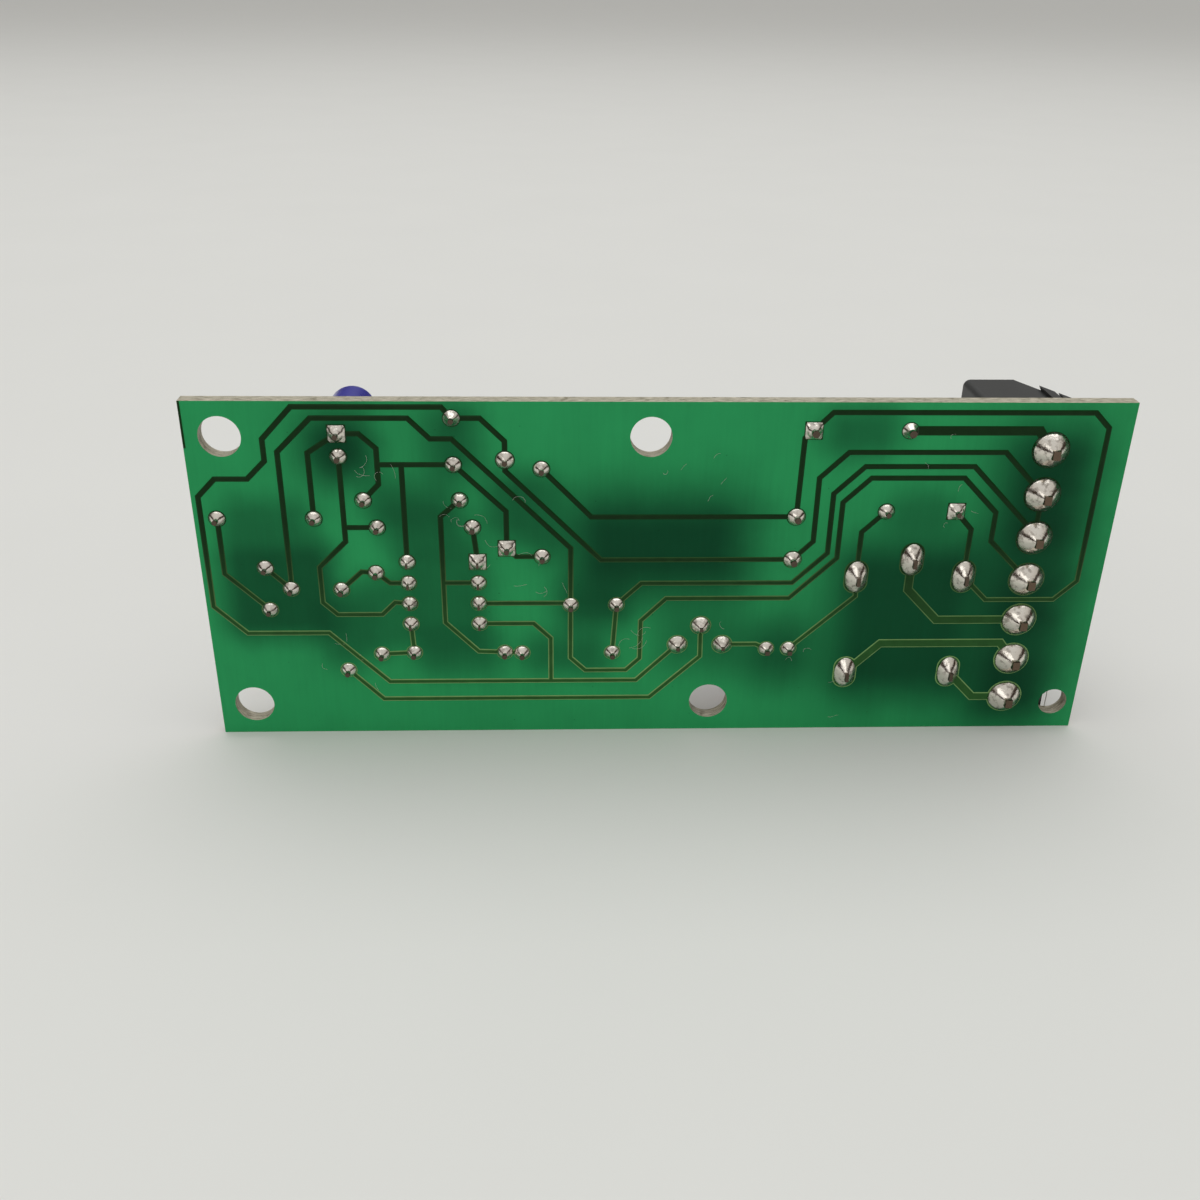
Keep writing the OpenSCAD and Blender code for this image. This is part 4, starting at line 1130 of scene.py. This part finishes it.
def dress(nodes: Iterable[str], material: bpy.types.Material) -> None:
    """Gives CAD nodes a finish.

    Args:
        nodes: Their names.
        material: The finish.
    """
    for node in nodes:
        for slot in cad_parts[node].material_slots:
            slot.link = "OBJECT"
            slot.material = material
        log.info("%s: %s", node, material.name)


# ---- sub-assemblies ----


@dataclass
class Laminate:
    """The board itself: its mask, its edges and the printing on its component side."""

    FULLY_ROUND = math.inf
    OUTLINES = (
        (("relay_case", "ic_body", "trimmer_body"), 0),
        (RESISTORS, 0.3),
        (("rectifier_diode", "signal_diode", "zener_diode"), 0),
        (DISCS, 1.6),
        (("small_capacitor_sleeve", "indicator_lens", "transistor_body"), FULLY_ROUND),
        (("large_capacitor_sleeve",), 1.0),
    )

    line_mm: float = 0.18
    line_height_mm: float = 0.02
    margin_mm: float = 0.5
    floor_gap_mm: float = 0.3
    corner_steps: int = 8
    sharp_below_mm: float = 0.4
    ink: Colour = srgb(232, 232, 224)
    grime: Colour = srgb(150, 146, 120)

    def outline(self, node: str, round_mm: float) -> list[tuple[float, float]]:
        """Runs a line round a component's outline on the board.

        Args:
            node: The component's node.
            round_mm: Radius of its corners, at most what fits.

        Returns:
            Points in the frame, along x and z.
        """
        low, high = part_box(node)
        margin = self.margin_mm * MM
        left, right, bottom, top = low.x - margin, high.x + margin, low.z - margin, high.z + margin
        radius = min(round_mm * MM, (right - left) / 2, (top - bottom) / 2)
        west, east, south, north = left + radius, right - radius, bottom + radius, top - radius
        corners = ((east, north), (west, north), (west, south), (east, south))
        steps = self.corner_steps if radius > self.sharp_below_mm * MM else 1
        points = []
        for quarter, (x, z) in enumerate(corners):
            for k in range(steps + 1):
                angle = (quarter + k / steps) * math.pi / 2
                points.append((x + radius * math.cos(angle), z + radius * math.sin(angle)))
        return points

    def block_line(self) -> list[tuple[float, float]]:
        """Runs a line over and beside the terminal blocks, open at the board's lower edge.

        Returns:
            Points in the frame, along x and z.
        """
        boxes = [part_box(housing) for housing in HOUSINGS]
        left = min(low.x for low, _ in boxes) - self.margin_mm * MM
        right = max(high.x for _, high in boxes) + self.margin_mm * MM
        top = max(high.z for _, high in boxes) + self.margin_mm * MM
        floor = PLANE.low + self.floor_gap_mm * MM
        return [(left, floor), (left, top), (right, top), (right, floor)]

    def paths(self) -> bpy.types.Mesh:
        """Draws the middles of the printed lines on the component side.

        Returns:
            A mesh of edges.
        """
        rows = [(self.outline(node, round_mm), True) for nodes, round_mm in self.OUTLINES for node in nodes]
        rows.append((self.block_line(), False))
        form = bmesh.new()
        for points, closed in rows:
            verts = [form.verts.new((x, PLANE.component_face, z)) for x, z in points]
            for a, b in zip(verts, verts[1:] + (verts[:1] if closed else [])):
                if a is not b and form.edges.get((a, b)) is None and (a.co - b.co).length > SAME_POINT:
                    form.edges.new((a, b))
        return to_mesh(form, "legend_path")

    def print_legend(self) -> bpy.types.Object:
        """Prints the component outlines in white ink.

        Returns:
            The printed piece.
        """
        finish = MouldedPlastic("legend_ink", self.ink, roughness=0.6, grain_mm=0.2,
                                grain_depth_mm=0.004, variation=0.05, dust=0.2, dust_colour=self.grime)
        flow = FlowTree("printed_lines")
        width = flow.input("Line width", "Float", self.line_mm * MM)
        height = flow.input("Ink height", "Float", self.line_height_mm * MM)
        ink = flow.input("Ink", "Material", finish.build())
        curve = flow.add("GeometryNodeMeshToCurve", {"Mesh": flow.start.outputs["Geometry"]})
        upright = flow.add("GeometryNodeSetCurveNormal", {"Curve": curve})
        profile = flow.add("GeometryNodeCurvePrimitiveQuadrilateral", {"Width": height, "Height": width})
        flow.finish(flow.sweep(upright, profile), ink, False)
        return flow.grow("board_legend", self.paths(), "laminate")

    def build(self) -> None:
        """Dresses the laminate and prints on it."""
        dress(["circuit_board"], LaminateFinish().build())
        self.print_legend()


@dataclass
class CopperWork:
    """The tracks and pads under the mask, with sloping sides."""

    slope_mm: float = 0.16
    rest_mm: float = 0.004
    flat_mm: float = 0.002

    def build(self) -> bpy.types.Object:
        """Makes the masked copper from a joined copy of the CAD one.

        Returns:
            The piece.
        """
        form = merged_copy("copper_tracks")
        flat_to = min(vert.co.y for vert in form.verts) + self.flat_mm * MM
        faces = [face for face in form.faces if all(vert.co.y < flat_to for vert in face.verts)]
        ridge = form.verts.layers.float.new("ridge")
        bmesh.ops.inset_region(form, faces=faces, thickness=self.slope_mm * MM, depth=0,
                               use_even_offset=True, use_boundary=True)
        on_top = [vert for vert in form.verts if vert.co.y < flat_to]
        rim = [vert for vert in on_top
               if any(other.co.y > flat_to for face in vert.link_faces for other in face.verts)]
        for vert in rim:
            vert.co.y = PLANE.solder_face - self.rest_mm * MM
            vert[ridge] = 1.0
        piece = place_piece("masked_tracks", to_mesh(form, "masked_tracks"))
        piece.data.materials.clear()
        piece.data.materials.append(TrackFilm().build())
        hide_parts("copper_tracks")
        return piece


@dataclass(frozen=True)
class Rise:
    """How solder rises from its pad, in shares of the joint's own size.

    The foot is the height of the rounded rim, and the sag bends the flank inwards above 1 and
    outwards below it. The tip is the radius of the top and the top is its height.
    """

    RIM_POWER = 4
    RINGS = 10

    foot: float
    sag: float
    tip: float
    top: float

    def profile(self) -> list[tuple[float, float]]:
        """Runs up the flank.

        Returns:
            The radius and height of each ring, from the pad to the top.
        """
        rings = []
        for way in (k / (self.RINGS - 1) for k in range(self.RINGS)):
            rim = self.foot * (1 - (1 - way) ** self.RIM_POWER)
            rings.append((1 - (1 - self.tip) * way, self.top * (rim + (1 - self.foot) * way ** self.sag)))
        return rings


SQUARE_FOOT_TO = 0.15
SQUARE_CORNER = 1.32
FLUX_TO = 0.3


class JointForm(Enum):
    """The shapes that solder takes."""

    CONE = Rise(foot=0.12, sag=0.86, tip=0.2, top=0.72)
    DULL = Rise(foot=0.16, sag=1.6, tip=0.24, top=0.87)
    FULL = Rise(foot=0.12, sag=0.95, tip=0.14, top=1.01)
    SQUARE = Rise(foot=0.08, sag=0.95, tip=0.2, top=0.72)
    DOME = Rise(foot=0.15, sag=0.98, tip=0.16, top=1.04)

    def reach(self, radius: float, height: float, angle: float) -> float:
        """Gives how far the flank is from the middle, which on a square pad follows its corners.

        Args:
            radius: The ring's radius.
            height: The ring's height.
            angle: The direction round the joint.

        Returns:
            The distance.
        """
        if self is not JointForm.SQUARE or height >= SQUARE_FOOT_TO:
            return radius
        return radius * min(1 / max(abs(math.cos(angle)), abs(math.sin(angle))), SQUARE_CORNER)

    def mesh(self, sides: int) -> bpy.types.Mesh:
        """Turns the profile into a closed shape of unit radius and height, that points along -Y.

        Args:
            sides: Number of points round it.

        Returns:
            The mesh, with a `flux` attribute that is 1 at the pad.
        """
        form = bmesh.new()
        flux = form.verts.layers.float.new("flux")
        rings = []
        for radius, height in self.value.profile():
            ring = []
            for k in range(sides):
                angle = math.tau * k / sides
                reach = self.reach(radius, height, angle)
                vert = form.verts.new((reach * math.cos(angle), -height, reach * math.sin(angle)))
                vert[flux] = max(0.0, 1.0 - height / FLUX_TO)
                ring.append(vert)
            rings.append(ring)
        for low, high in zip(rings, rings[1:]):
            for k in range(sides):
                form.faces.new((low[k], high[k], high[(k + 1) % sides], low[(k + 1) % sides]))
        form.faces.new(rings[0])
        form.faces.new(reversed(rings[-1]))
        bmesh.ops.recalc_face_normals(form, faces=form.faces)
        return to_mesh(form, f"joint_{self.name.lower()}", smooth=True)


@dataclass(frozen=True)
class Joint:
    """One soldered joint: its middle, its half sizes on the board and how far the solder comes out."""

    DOME_ABOVE_MM = 1.5
    FULL_ABOVE_MM = 1.1
    SQUARE_MM = (0.95, 1.0)
    DULL_AT_MM = ((27.6, 38.1), (75.4, 36.8))
    DULL_WITHIN_MM = 0.5

    middle: Vector
    half_x: float
    half_z: float
    out: float

    @property
    def foot(self) -> Vector:
        """Gives the joint's middle on the solder face."""
        return Vector((self.middle.x, PLANE.solder_face, self.middle.z))

    @property
    def form(self) -> JointForm:
        """Reads the joint's shape from its size, and marks the two dull ones.

        Returns:
            The shape.
        """
        if self.half_z > self.DOME_ABOVE_MM * MM:
            return JointForm.DOME
        if self.half_x > self.FULL_ABOVE_MM * MM:
            return JointForm.FULL
        narrowest, widest = (size * MM for size in self.SQUARE_MM)
        if narrowest < self.half_x < widest:
            return JointForm.SQUARE
        near = self.DULL_WITHIN_MM * MM
        if any((PLANE.at(x, z) - self.foot).length < near for x, z in self.DULL_AT_MM):
            return JointForm.DULL
        return JointForm.CONE

    @property
    def turns(self) -> bool:
        """Tells whether the joint may be turned on its pad without leaving it."""
        round_pad = self.form in (JointForm.DULL, JointForm.FULL) and self.half_x == self.half_z
        return round_pad or self.form is JointForm.CONE


@dataclass
class SolderWork:
    """All the soldered joints. Each is an instance of a unit form on a point that carries its size."""

    sides: int = 22
    seed: int = 11
    ripple_mm: float = 0.1
    ripple_size_mm: float = 0.9
    height_spread: float = 0.16
    shortest: float = -0.2
    tallest: float = 1.0
    bright: Colour = srgb(226, 220, 210)
    frost: Colour = srgb(176, 169, 160)
    flux: Colour = srgb(72, 50, 32)

    def joints(self) -> list[Joint]:
        """Reads each joint from the CAD solder.

        Returns:
            The joints, from left to right and from the bottom up.
        """
        form = merged_copy("solder_joints")
        found = []
        for low, high in islands(form):
            middle = (low + high) / 2
            found.append(Joint(middle, (high.x - low.x) / 2, (high.z - low.z) / 2, PLANE.solder_face - low.y))
        form.free()
        return sorted(found, key=lambda joint: (round(joint.middle.x, 5), round(joint.middle.z, 5)))

    def points(self) -> bpy.types.Mesh:
        """Makes the points that carry the joints' sizes.

        Returns:
            A mesh of points with `size`, `turn` and `form`.
        """
        joints = self.joints()
        draw = np.random.default_rng(self.seed)
        mesh = bpy.data.meshes.new("joint_points")
        mesh.from_pydata([joint.foot for joint in joints], [], [])
        for label, kind in (("size", "FLOAT_VECTOR"), ("turn", "FLOAT_VECTOR"), ("form", "INT")):
            mesh.attributes.new(label, kind, "POINT")
        size, turn, form = (mesh.attributes[label].data for label in ("size", "turn", "form"))
        order = list(JointForm)
        for k, joint in enumerate(joints):
            spread = 1 + draw.uniform(self.shortest, self.tallest) * self.height_spread
            size[k].vector = (joint.half_x, joint.out * spread, joint.half_z)
            turn[k].vector = (0.0, draw.uniform(0, math.tau) if joint.turns else 0.0, 0.0)
            form[k].value = order.index(joint.form)
        return mesh

    def instances(self, flow: FlowTree, templates: dict[JointForm, bpy.types.Object]) -> bpy.types.NodeSocket:
        """Puts each unit form on the points that ask for it.

        Args:
            flow: The tree under construction.
            templates: The unit form of each shape.

        Returns:
            The realized joints.
        """
        kind = flow.named("form", "INT")
        placing = {
            "Points": flow.start.outputs["Geometry"],
            "Rotation": flow.named("turn", "FLOAT_VECTOR"),
            "Scale": flow.named("size", "FLOAT_VECTOR"),
        }
        forms = []
        for index, (form, template) in enumerate(templates.items()):
            source = flow.input(form.name.title(), "Object", template)
            shape = flow.add("GeometryNodeObjectInfo", {"Object": source}, "Geometry")
            same = flow.add("FunctionNodeCompare", {2: kind, 3: index}, data_type="INT", operation="EQUAL")
            inputs = {**placing, "Selection": same, "Instance": shape}
            forms.append(flow.add("GeometryNodeInstanceOnPoints", inputs))
        joined = flow.add("GeometryNodeJoinGeometry", {"Geometry": forms})
        return flow.add("GeometryNodeRealizeInstances", {"Geometry": joined})

    def rippled(self, flow: FlowTree, joints: bpy.types.NodeSocket) -> bpy.types.NodeSocket:
        """Moves the solder's surface in and out, less so towards the pad.

        Args:
            flow: The tree under construction.
            joints: The realized joints.

        Returns:
            The rippled joints.
        """
        ripple = flow.input("Ripple", "Float", self.ripple_mm * MM)
        scale = flow.input("Ripple scale", "Float", 1 / (self.ripple_size_mm * MM))
        clouds = flow.add("ShaderNodeTexNoise", {"Scale": scale, "Detail": 2.0}, "Fac")
        amount = flow.math("MULTIPLY", flow.math("SUBTRACT", clouds, 0.5), ripple)
        amount = flow.math("MULTIPLY", amount, flow.math("SUBTRACT", 1.0, flow.named("flux", "FLOAT")))
        normal = flow.add("GeometryNodeInputNormal")
        moved = flow.add("ShaderNodeVectorMath", {0: normal, "Scale": amount}, operation="SCALE")
        return flow.add("GeometryNodeSetPosition", {"Geometry": joints, "Offset": moved})

    def build(self) -> bpy.types.Object:
        """Grows the joints on their points.

        Returns:
            The piece.
        """
        flow = FlowTree("solder_joints")
        templates = {}
        for form in JointForm:
            templates[form] = bpy.data.objects.new(f"unit_{form.name.lower()}", form.mesh(self.sides))
            bpy.context.scene.collection.objects.link(templates[form])
        finish = SolderFinish("solder", self.bright, self.frost, self.flux).build()
        joints = self.rippled(flow, self.instances(flow, templates))
        flow.finish(joints, flow.input("Material", "Material", finish), True)
        piece = flow.grow("solder_work", self.points(), "solder")
        for template in templates.values():
            bpy.data.objects.remove(template)
        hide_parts("solder_joints")
        return piece


@dataclass
class TerminalRow:
    """The three screw-terminal blocks with their contacts, screws and cages."""

    plastic: Colour = srgb(48, 50, 50)
    dust: Colour = srgb(120, 118, 112)

    def build(self) -> None:
        """Dresses the row."""
        plastic = MouldedPlastic("block_plastic", self.plastic, roughness=0.5, grain_mm=0.14,
                                 grain_depth_mm=0.012, variation=0.18, dust=0.12, dust_colour=self.dust)
        contacts = PlatedMetal("tinned_brass", srgb(208, 202, 184), srgb(150, 140, 112), roughness=0.26,
                               cut_end=srgb(106, 90, 76), cut_mm=1.6)
        screws = PlatedMetal("zinc_plated_screw", srgb(204, 206, 208), srgb(150, 146, 130), roughness=0.3,
                             patch_mm=0.7, mark_mm=0.04)
        cages = PlatedMetal("nickel_plated_cage", srgb(188, 184, 172), srgb(132, 124, 104), roughness=0.26,
                            patch_mm=1.1)
        dress(HOUSINGS, plastic.build())
        dress(["terminal_contacts"], contacts.build())
        dress([f"clamp_screw_{way}" for way in WAYS], screws.build())
        dress([f"clamp_cage_{way}" for way in WAYS], cages.build())


class RingColour(Enum):
    """Colours of the rings on the resistors."""

    BLACK = (26, 24, 24)
    BROWN = (92, 50, 26)
    RED = (176, 34, 32)
    ORANGE = (222, 112, 34)
    YELLOW = (226, 200, 48)
    VIOLET = (116, 66, 146)


@dataclass
class AxialParts:
    """The resistors and diodes, that lie along the board."""

    coat: Colour = srgb(132, 178, 204)
    ring_width_mm: float = 0.55
    ring_places_mm: tuple[float, ...] = (-2.45, -1.15, -0.3, 0.55, 2.4)
    ring_rows: tuple[str, ...] = (
        "BROWN BLACK BLACK RED BROWN", "YELLOW VIOLET BLACK BROWN BROWN", "BROWN BLACK BLACK RED BROWN",
        "ORANGE ORANGE BLACK ORANGE BROWN", "RED RED BLACK RED BROWN", "BROWN BLACK BLACK ORANGE BROWN",
        "YELLOW VIOLET BLACK RED BROWN", "BROWN BLACK BLACK BLACK BROWN")
    silver_band: Band = Band(-1.55, 0.9, srgb(196, 198, 200))
    moulding: Colour = srgb(28, 28, 30)
    glass: Colour = srgb(206, 92, 34)
    glass_band: Band = Band(1.1, 0.5, srgb(18, 18, 18))

    @staticmethod
    def coat_part(node: str, name: str, colour: Colour, bands: Iterable[Band], **finish: float) -> None:
        """Dresses a part that lies along the board.

        Args:
            node: The part's node.
            name: The coat's name.
            colour: The coat's colour.
            bands: The bands painted round it.
            **finish: The coat's roughness and how clear it is.
        """
        low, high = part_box(node)
        axis = 0 if high.x - low.x > high.z - low.z else 2
        dress([node], BandedCoat(name, colour, tuple((low + high) / 2), axis, tuple(bands), **finish).build())

    def build(self) -> None:
        """Dresses the resistors and the diodes."""
        for node, row in zip(RESISTORS, self.ring_rows):
            colours = (srgb(*RingColour[name].value) for name in row.split())
            rings = [Band(place, self.ring_width_mm, colour)
                     for place, colour in zip(self.ring_places_mm, colours)]
            self.coat_part(node, f"{node}_coat", self.coat, rings, roughness=0.32)
        self.coat_part("rectifier_diode", "diode_moulding", self.moulding, [self.silver_band], roughness=0.42)
        turned_band = replace(self.glass_band, along_mm=-self.glass_band.along_mm)
        for node, band in (("signal_diode", self.glass_band), ("zener_diode", turned_band)):
            self.coat_part(node, f"{node}_glass", self.glass, [band], roughness=0.12, clear=0.8)


@dataclass
class Electrolytics:
    """The two electrolytic capacitors, one standing and one lying."""

    small_film: Colour = srgb(50, 52, 150)
    large_film: Colour = srgb(34, 40, 104)
    stripe: Colour = srgb(196, 200, 216)
    stripe_facing: Place = (0.0, 0.0, -1.0)

    def wrap(self, size: str, film: Colour, axis: int, half_angle: float, dash_pitch_mm: float) -> None:
        """Dresses one capacitor's sleeve.

        Args:
            size: Which capacitor, "small" or "large".
            film: The sleeve's colour.
            axis: The axis that it lies along.
            half_angle: Half of the stripe's width, as an angle.
            dash_pitch_mm: Distance from one minus mark to the next.
        """
        low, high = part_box(f"{size}_capacitor_sleeve")
        centre = tuple((low + high) / 2)
        sleeve = SleeveFilm(f"{size}_sleeve_film", film, self.stripe, centre, axis, self.stripe_facing,
                            half_angle, dash_pitch_mm)
        dress([f"{size}_capacitor_sleeve"], sleeve.build())

    def build(self) -> None:
        """Dresses the cans, bungs and sleeves."""
        can = PlatedMetal("can_aluminium", srgb(214, 216, 218), srgb(178, 180, 182), roughness=0.3,
                          patch_mm=1.4, mark_mm=0.06)
        rubber = MouldedPlastic("bung_rubber", srgb(34, 34, 34), roughness=0.75, grain_mm=0.1,
                                grain_depth_mm=0.01, variation=0.1, dust=0.1)
        dress(["small_capacitor_can", "large_capacitor_can"], can.build())
        dress(["small_capacitor_bung", "large_capacitor_bung"], rubber.build())
        self.wrap("small", self.small_film, axis=1, half_angle=0.5, dash_pitch_mm=2.6)
        self.wrap("large", self.large_film, axis=0, half_angle=0.42, dash_pitch_mm=4.2)


@dataclass
class Components:
    """The rest of the parts on the component side, and the leads of all of them."""

    MOULDINGS = {
        ("relay_case",): MouldedPlastic(
            "relay_plastic", srgb(34, 92, 178), roughness=0.34, grain_mm=0.1, variation=0.1, dust=0.08),
        ("relay_base",): MouldedPlastic("base_plastic", srgb(30, 62, 120), roughness=0.5),
        ("ic_body", "transistor_body"): MouldedPlastic(
            "moulding_black", srgb(30, 30, 32), roughness=0.55, grain_mm=0.1, grain_depth_mm=0.01,
            variation=0.15, dust=0.1),
        ("trimmer_body",): MouldedPlastic(
            "trimmer_plastic", srgb(38, 104, 186), roughness=0.36, grain_mm=0.1, variation=0.1),
        ("trimmer_rotor",): MouldedPlastic(
            "rotor_plastic", srgb(226, 226, 220), roughness=0.42, grain_mm=0.1, variation=0.06),
    }
    LEADS = (
        "relay_pins", "ic_pins", "trimmer_pins", "small_capacitor_leads", "large_capacitor_leads",
        "ceramic_capacitor_leads", "resistor_leads", "diode_leads", "transistor_leads", "indicator_leads")

    disc_orange: Colour = srgb(206, 116, 44)
    lens_red: Colour = srgb(208, 28, 24)

    def build(self) -> None:
        """Dresses them."""
        for nodes, plastic in self.MOULDINGS.items():
            dress(nodes, plastic.build())
        dress(DISCS, GlazedCoat("disc_coating", self.disc_orange).build())
        dress(["indicator_lens"], LensEpoxy("lens_epoxy", self.lens_red).build())
        tinned = PlatedMetal("tinned_lead", srgb(206, 204, 198), srgb(150, 146, 134), roughness=0.24,
                             patch_mm=0.8, mark_mm=0.04, cut_end=srgb(92, 80, 70))
        dress(self.LEADS, tinned.build())


@dataclass(frozen=True)
class Tuft:
    """A place where dust gathers: its middle, how far the fibres lie scattered and how long they are."""

    x_mm: float
    z_mm: float
    scatter_mm: float
    length_mm: float


@dataclass
class Dust:
    """Short curled fibres on the solder side."""

    seed: int = 5
    width_mm: float = 0.022
    to_a_tuft: int = 5
    points: int = 9
    lift_mm: float = 0.09
    sway_mm: float = 0.05
    sway_step: float = 0.8
    sharpest_bend: float = 0.9
    bend_shares: tuple[float, float] = (0.2, 0.8)
    colour: Colour = srgb(206, 204, 196)
    tufts: tuple[Tuft, ...] = (
        Tuft(19.6, 33.0, 0.9, 2.0), Tuft(27.2, 27.0, 0.6, 1.6), Tuft(46.8, 12.3, 0.8, 2.4),
        Tuft(36.2, 19.4, 1.0, 1.6), Tuft(52.0, 31.0, 3.0, 1.0), Tuft(68.0, 12.0, 4.0, 1.4),
        Tuft(15.0, 8.0, 3.0, 1.2), Tuft(80.0, 31.0, 3.0, 1.0), Tuft(33.0, 25.5, 2.0, 2.2))

    def fibre(self, form: bmesh.types.BMesh, tuft: Tuft, draw: np.random.Generator) -> None:
        """Lays one fibre.

        Args:
            form: The mesh that takes its path.
            tuft: The tuft that it belongs to.
            draw: The source of random numbers.
        """
        at = np.array([start + draw.normal(0, tuft.scatter_mm) for start in (tuft.x_mm, tuft.z_mm)])
        angle = draw.uniform(0, math.tau)
        bend = draw.uniform(-self.sharpest_bend, self.sharpest_bend)
        verts = []
        for k in range(self.points):
            out = self.lift_mm + self.sway_mm * math.sin(k * self.sway_step + angle)
            verts.append(form.verts.new(PLANE.at(at[0], at[1], out)))
            at = at + tuft.length_mm / self.points * np.array((math.cos(angle), math.sin(angle)))
            angle += bend * draw.uniform(*self.bend_shares)
        for a, b in zip(verts, verts[1:]):
            form.edges.new((a, b))

    def build(self) -> bpy.types.Object:
        """Scatters the fibres.

        Returns:
            The piece.
        """
        draw = np.random.default_rng(self.seed)
        form = bmesh.new()
        for tuft in self.tufts:
            for _ in range(self.to_a_tuft):
                self.fibre(form, tuft, draw)
        finish = MouldedPlastic("dust_fibre", self.colour, roughness=0.8, grain_mm=0.1,
                                grain_depth_mm=0.0, variation=0.05)
        flow = FlowTree("dust_fibres")
        radius = flow.input("Fibre radius", "Float", self.width_mm * MM / 2)
        dust = flow.input("Dust", "Material", finish.build())
        curve = flow.add("GeometryNodeMeshToCurve", {"Mesh": flow.start.outputs["Geometry"]})
        profile = flow.add("GeometryNodeCurvePrimitiveCircle", {"Resolution": 4, "Radius": radius})
        flow.finish(flow.sweep(curve, profile), dust, True)
        return flow.grow("dust_fibres", to_mesh(form, "fibre_paths"), "masked_copper")


# ---- studio ----


@dataclass(frozen=True)
class Softbox:
    """A rectangular light: where it is, what it points at, its size and its power."""

    name: str
    place: Place
    target: Place
    width: float
    height: float
    power: float

    def build(self) -> None:
        """Hangs the light."""
        lamp = bpy.data.lights.new(self.name, "AREA")
        lamp.shape = "RECTANGLE"
        lamp.size, lamp.size_y, lamp.energy = self.width, self.height, self.power
        stand = bpy.data.objects.new(self.name, lamp)
        bpy.context.scene.collection.objects.link(stand)
        stand.location = self.place
        stand.rotation_mode = "QUATERNION"
        stand.rotation_quaternion = (Vector(self.target) - Vector(self.place)).to_track_quat("-Z", "Y")


@dataclass
class Studio:
    """A pale floor, soft lights and the camera. The air's colours go from level up to overhead."""

    floor_half: float = 14.0
    floor_cloud_mm: float = 40.0
    floor_cloud_tone: float = 0.97
    floor_colour: Colour = srgb(226, 227, 224)
    air: tuple[tuple[float, Colour], ...] = (
        (0.0, (0.42, 0.42, 0.42)), (0.06, (0.075, 0.055, 0.045)), (0.3, (0.06, 0.044, 0.035)),
        (0.42, (0.75, 0.72, 0.68)), (1.0, (1.0, 1.0, 0.99)))
    air_strength: float = 0.75
    camera_place: Place = (-0.01148, -0.12934, 0.08010)
    camera_direction: Place = (0.03729, 0.88746, -0.45938)
    camera_up: Place = (0.00382, 0.45957, 0.88813)
    lens_mm: float = 37.167
    sensor_mm: float = 36.0
    clip: tuple[float, float] = (0.005, 100.0)
    softboxes: tuple[Softbox, ...] = (
        Softbox("overhead", place=(0.0, 0.25, 1.1), target=(0.0, 0.0, 0.0),
                width=1.6, height=1.2, power=6.0),
        Softbox("front_fill", place=(-0.35, -0.9, 0.5), target=(0.0, 0.0, 0.02),
                width=0.9, height=0.5, power=1.2),
    )

    def lay_floor(self) -> None:
        """Lays the floor."""
        form = bmesh.new()
        half = self.floor_half
        corners = ((-1, -1), (1, -1), (1, 1), (-1, 1))
        form.faces.new([form.verts.new((x * half, y * half, 0.0)) for x, y in corners])
        floor = bpy.data.objects.new("floor", to_mesh(form, "floor"))
        bpy.context.scene.collection.objects.link(floor)
        shade = Shade("floor_paper")
        darker = scaled(self.floor_colour, self.floor_cloud_tone)
        colour = shade.mix(shade.noise(self.floor_cloud_mm), darker, self.floor_colour)
        floor.data.materials.append(shade.surface(Base_Color=colour, Roughness=0.7))

    def fill_air(self) -> None:
        """Sets the soft surroundings."""
        world = bpy.data.worlds.new("studio_air")
        world.use_nodes = True
        tree = world.node_tree
        ground = tree.nodes["Background"]
        ground.inputs["Strength"].default_value = self.air_strength
        place = tree.nodes.new("ShaderNodeTexCoord")
        parts = tree.nodes.new("ShaderNodeSeparateXYZ")
        ramp = tree.nodes.new("ShaderNodeValToRGB")
        tree.links.new(place.outputs["Generated"], parts.inputs[0])
        tree.links.new(parts.outputs["Z"], ramp.inputs["Fac"])
        tree.links.new(ramp.outputs["Color"], ground.inputs["Color"])
        marks = ramp.color_ramp.elements
        while len(marks) < len(self.air):
            marks.new(0.5)
        for mark, (height, colour) in zip(marks, self.air):
            mark.position = height
            mark.color = (*colour, 1.0)
        bpy.context.scene.world = world

    def place_camera(self) -> None:
        """Sets the camera at the board's front, looking down at it."""
        lens = bpy.data.cameras.new("camera")
        lens.lens, lens.sensor_width, lens.sensor_fit = self.lens_mm, self.sensor_mm, "AUTO"
        lens.clip_start, lens.clip_end = self.clip
        camera = bpy.data.objects.new("camera", lens)
        bpy.context.scene.collection.objects.link(camera)
        back = -Vector(self.camera_direction).normalized()
        right = Vector(self.camera_up).cross(back).normalized()
        up = back.cross(right)
        turn = Matrix((right, up, back)).transposed()
        camera.matrix_world = Matrix.Translation(self.camera_place) @ turn.to_4x4()
        bpy.context.scene.camera = camera

    def build(self) -> None:
        """Sets everything round the object."""
        self.lay_floor()
        self.fill_air()
        for box in self.softboxes:
            box.build()
        self.place_camera()
        bpy.context.scene.view_settings.view_transform = "Standard"


def main() -> None:
    """Builds the looks in order."""
    logging.basicConfig(level=logging.INFO, format="%(message)s")
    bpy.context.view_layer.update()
    Laminate().build()
    CopperWork().build()
    SolderWork().build()
    TerminalRow().build()
    AxialParts().build()
    Electrolytics().build()
    Components().build()
    Dust().build()
    Studio().build()


if __name__ == "__main__":
    main()
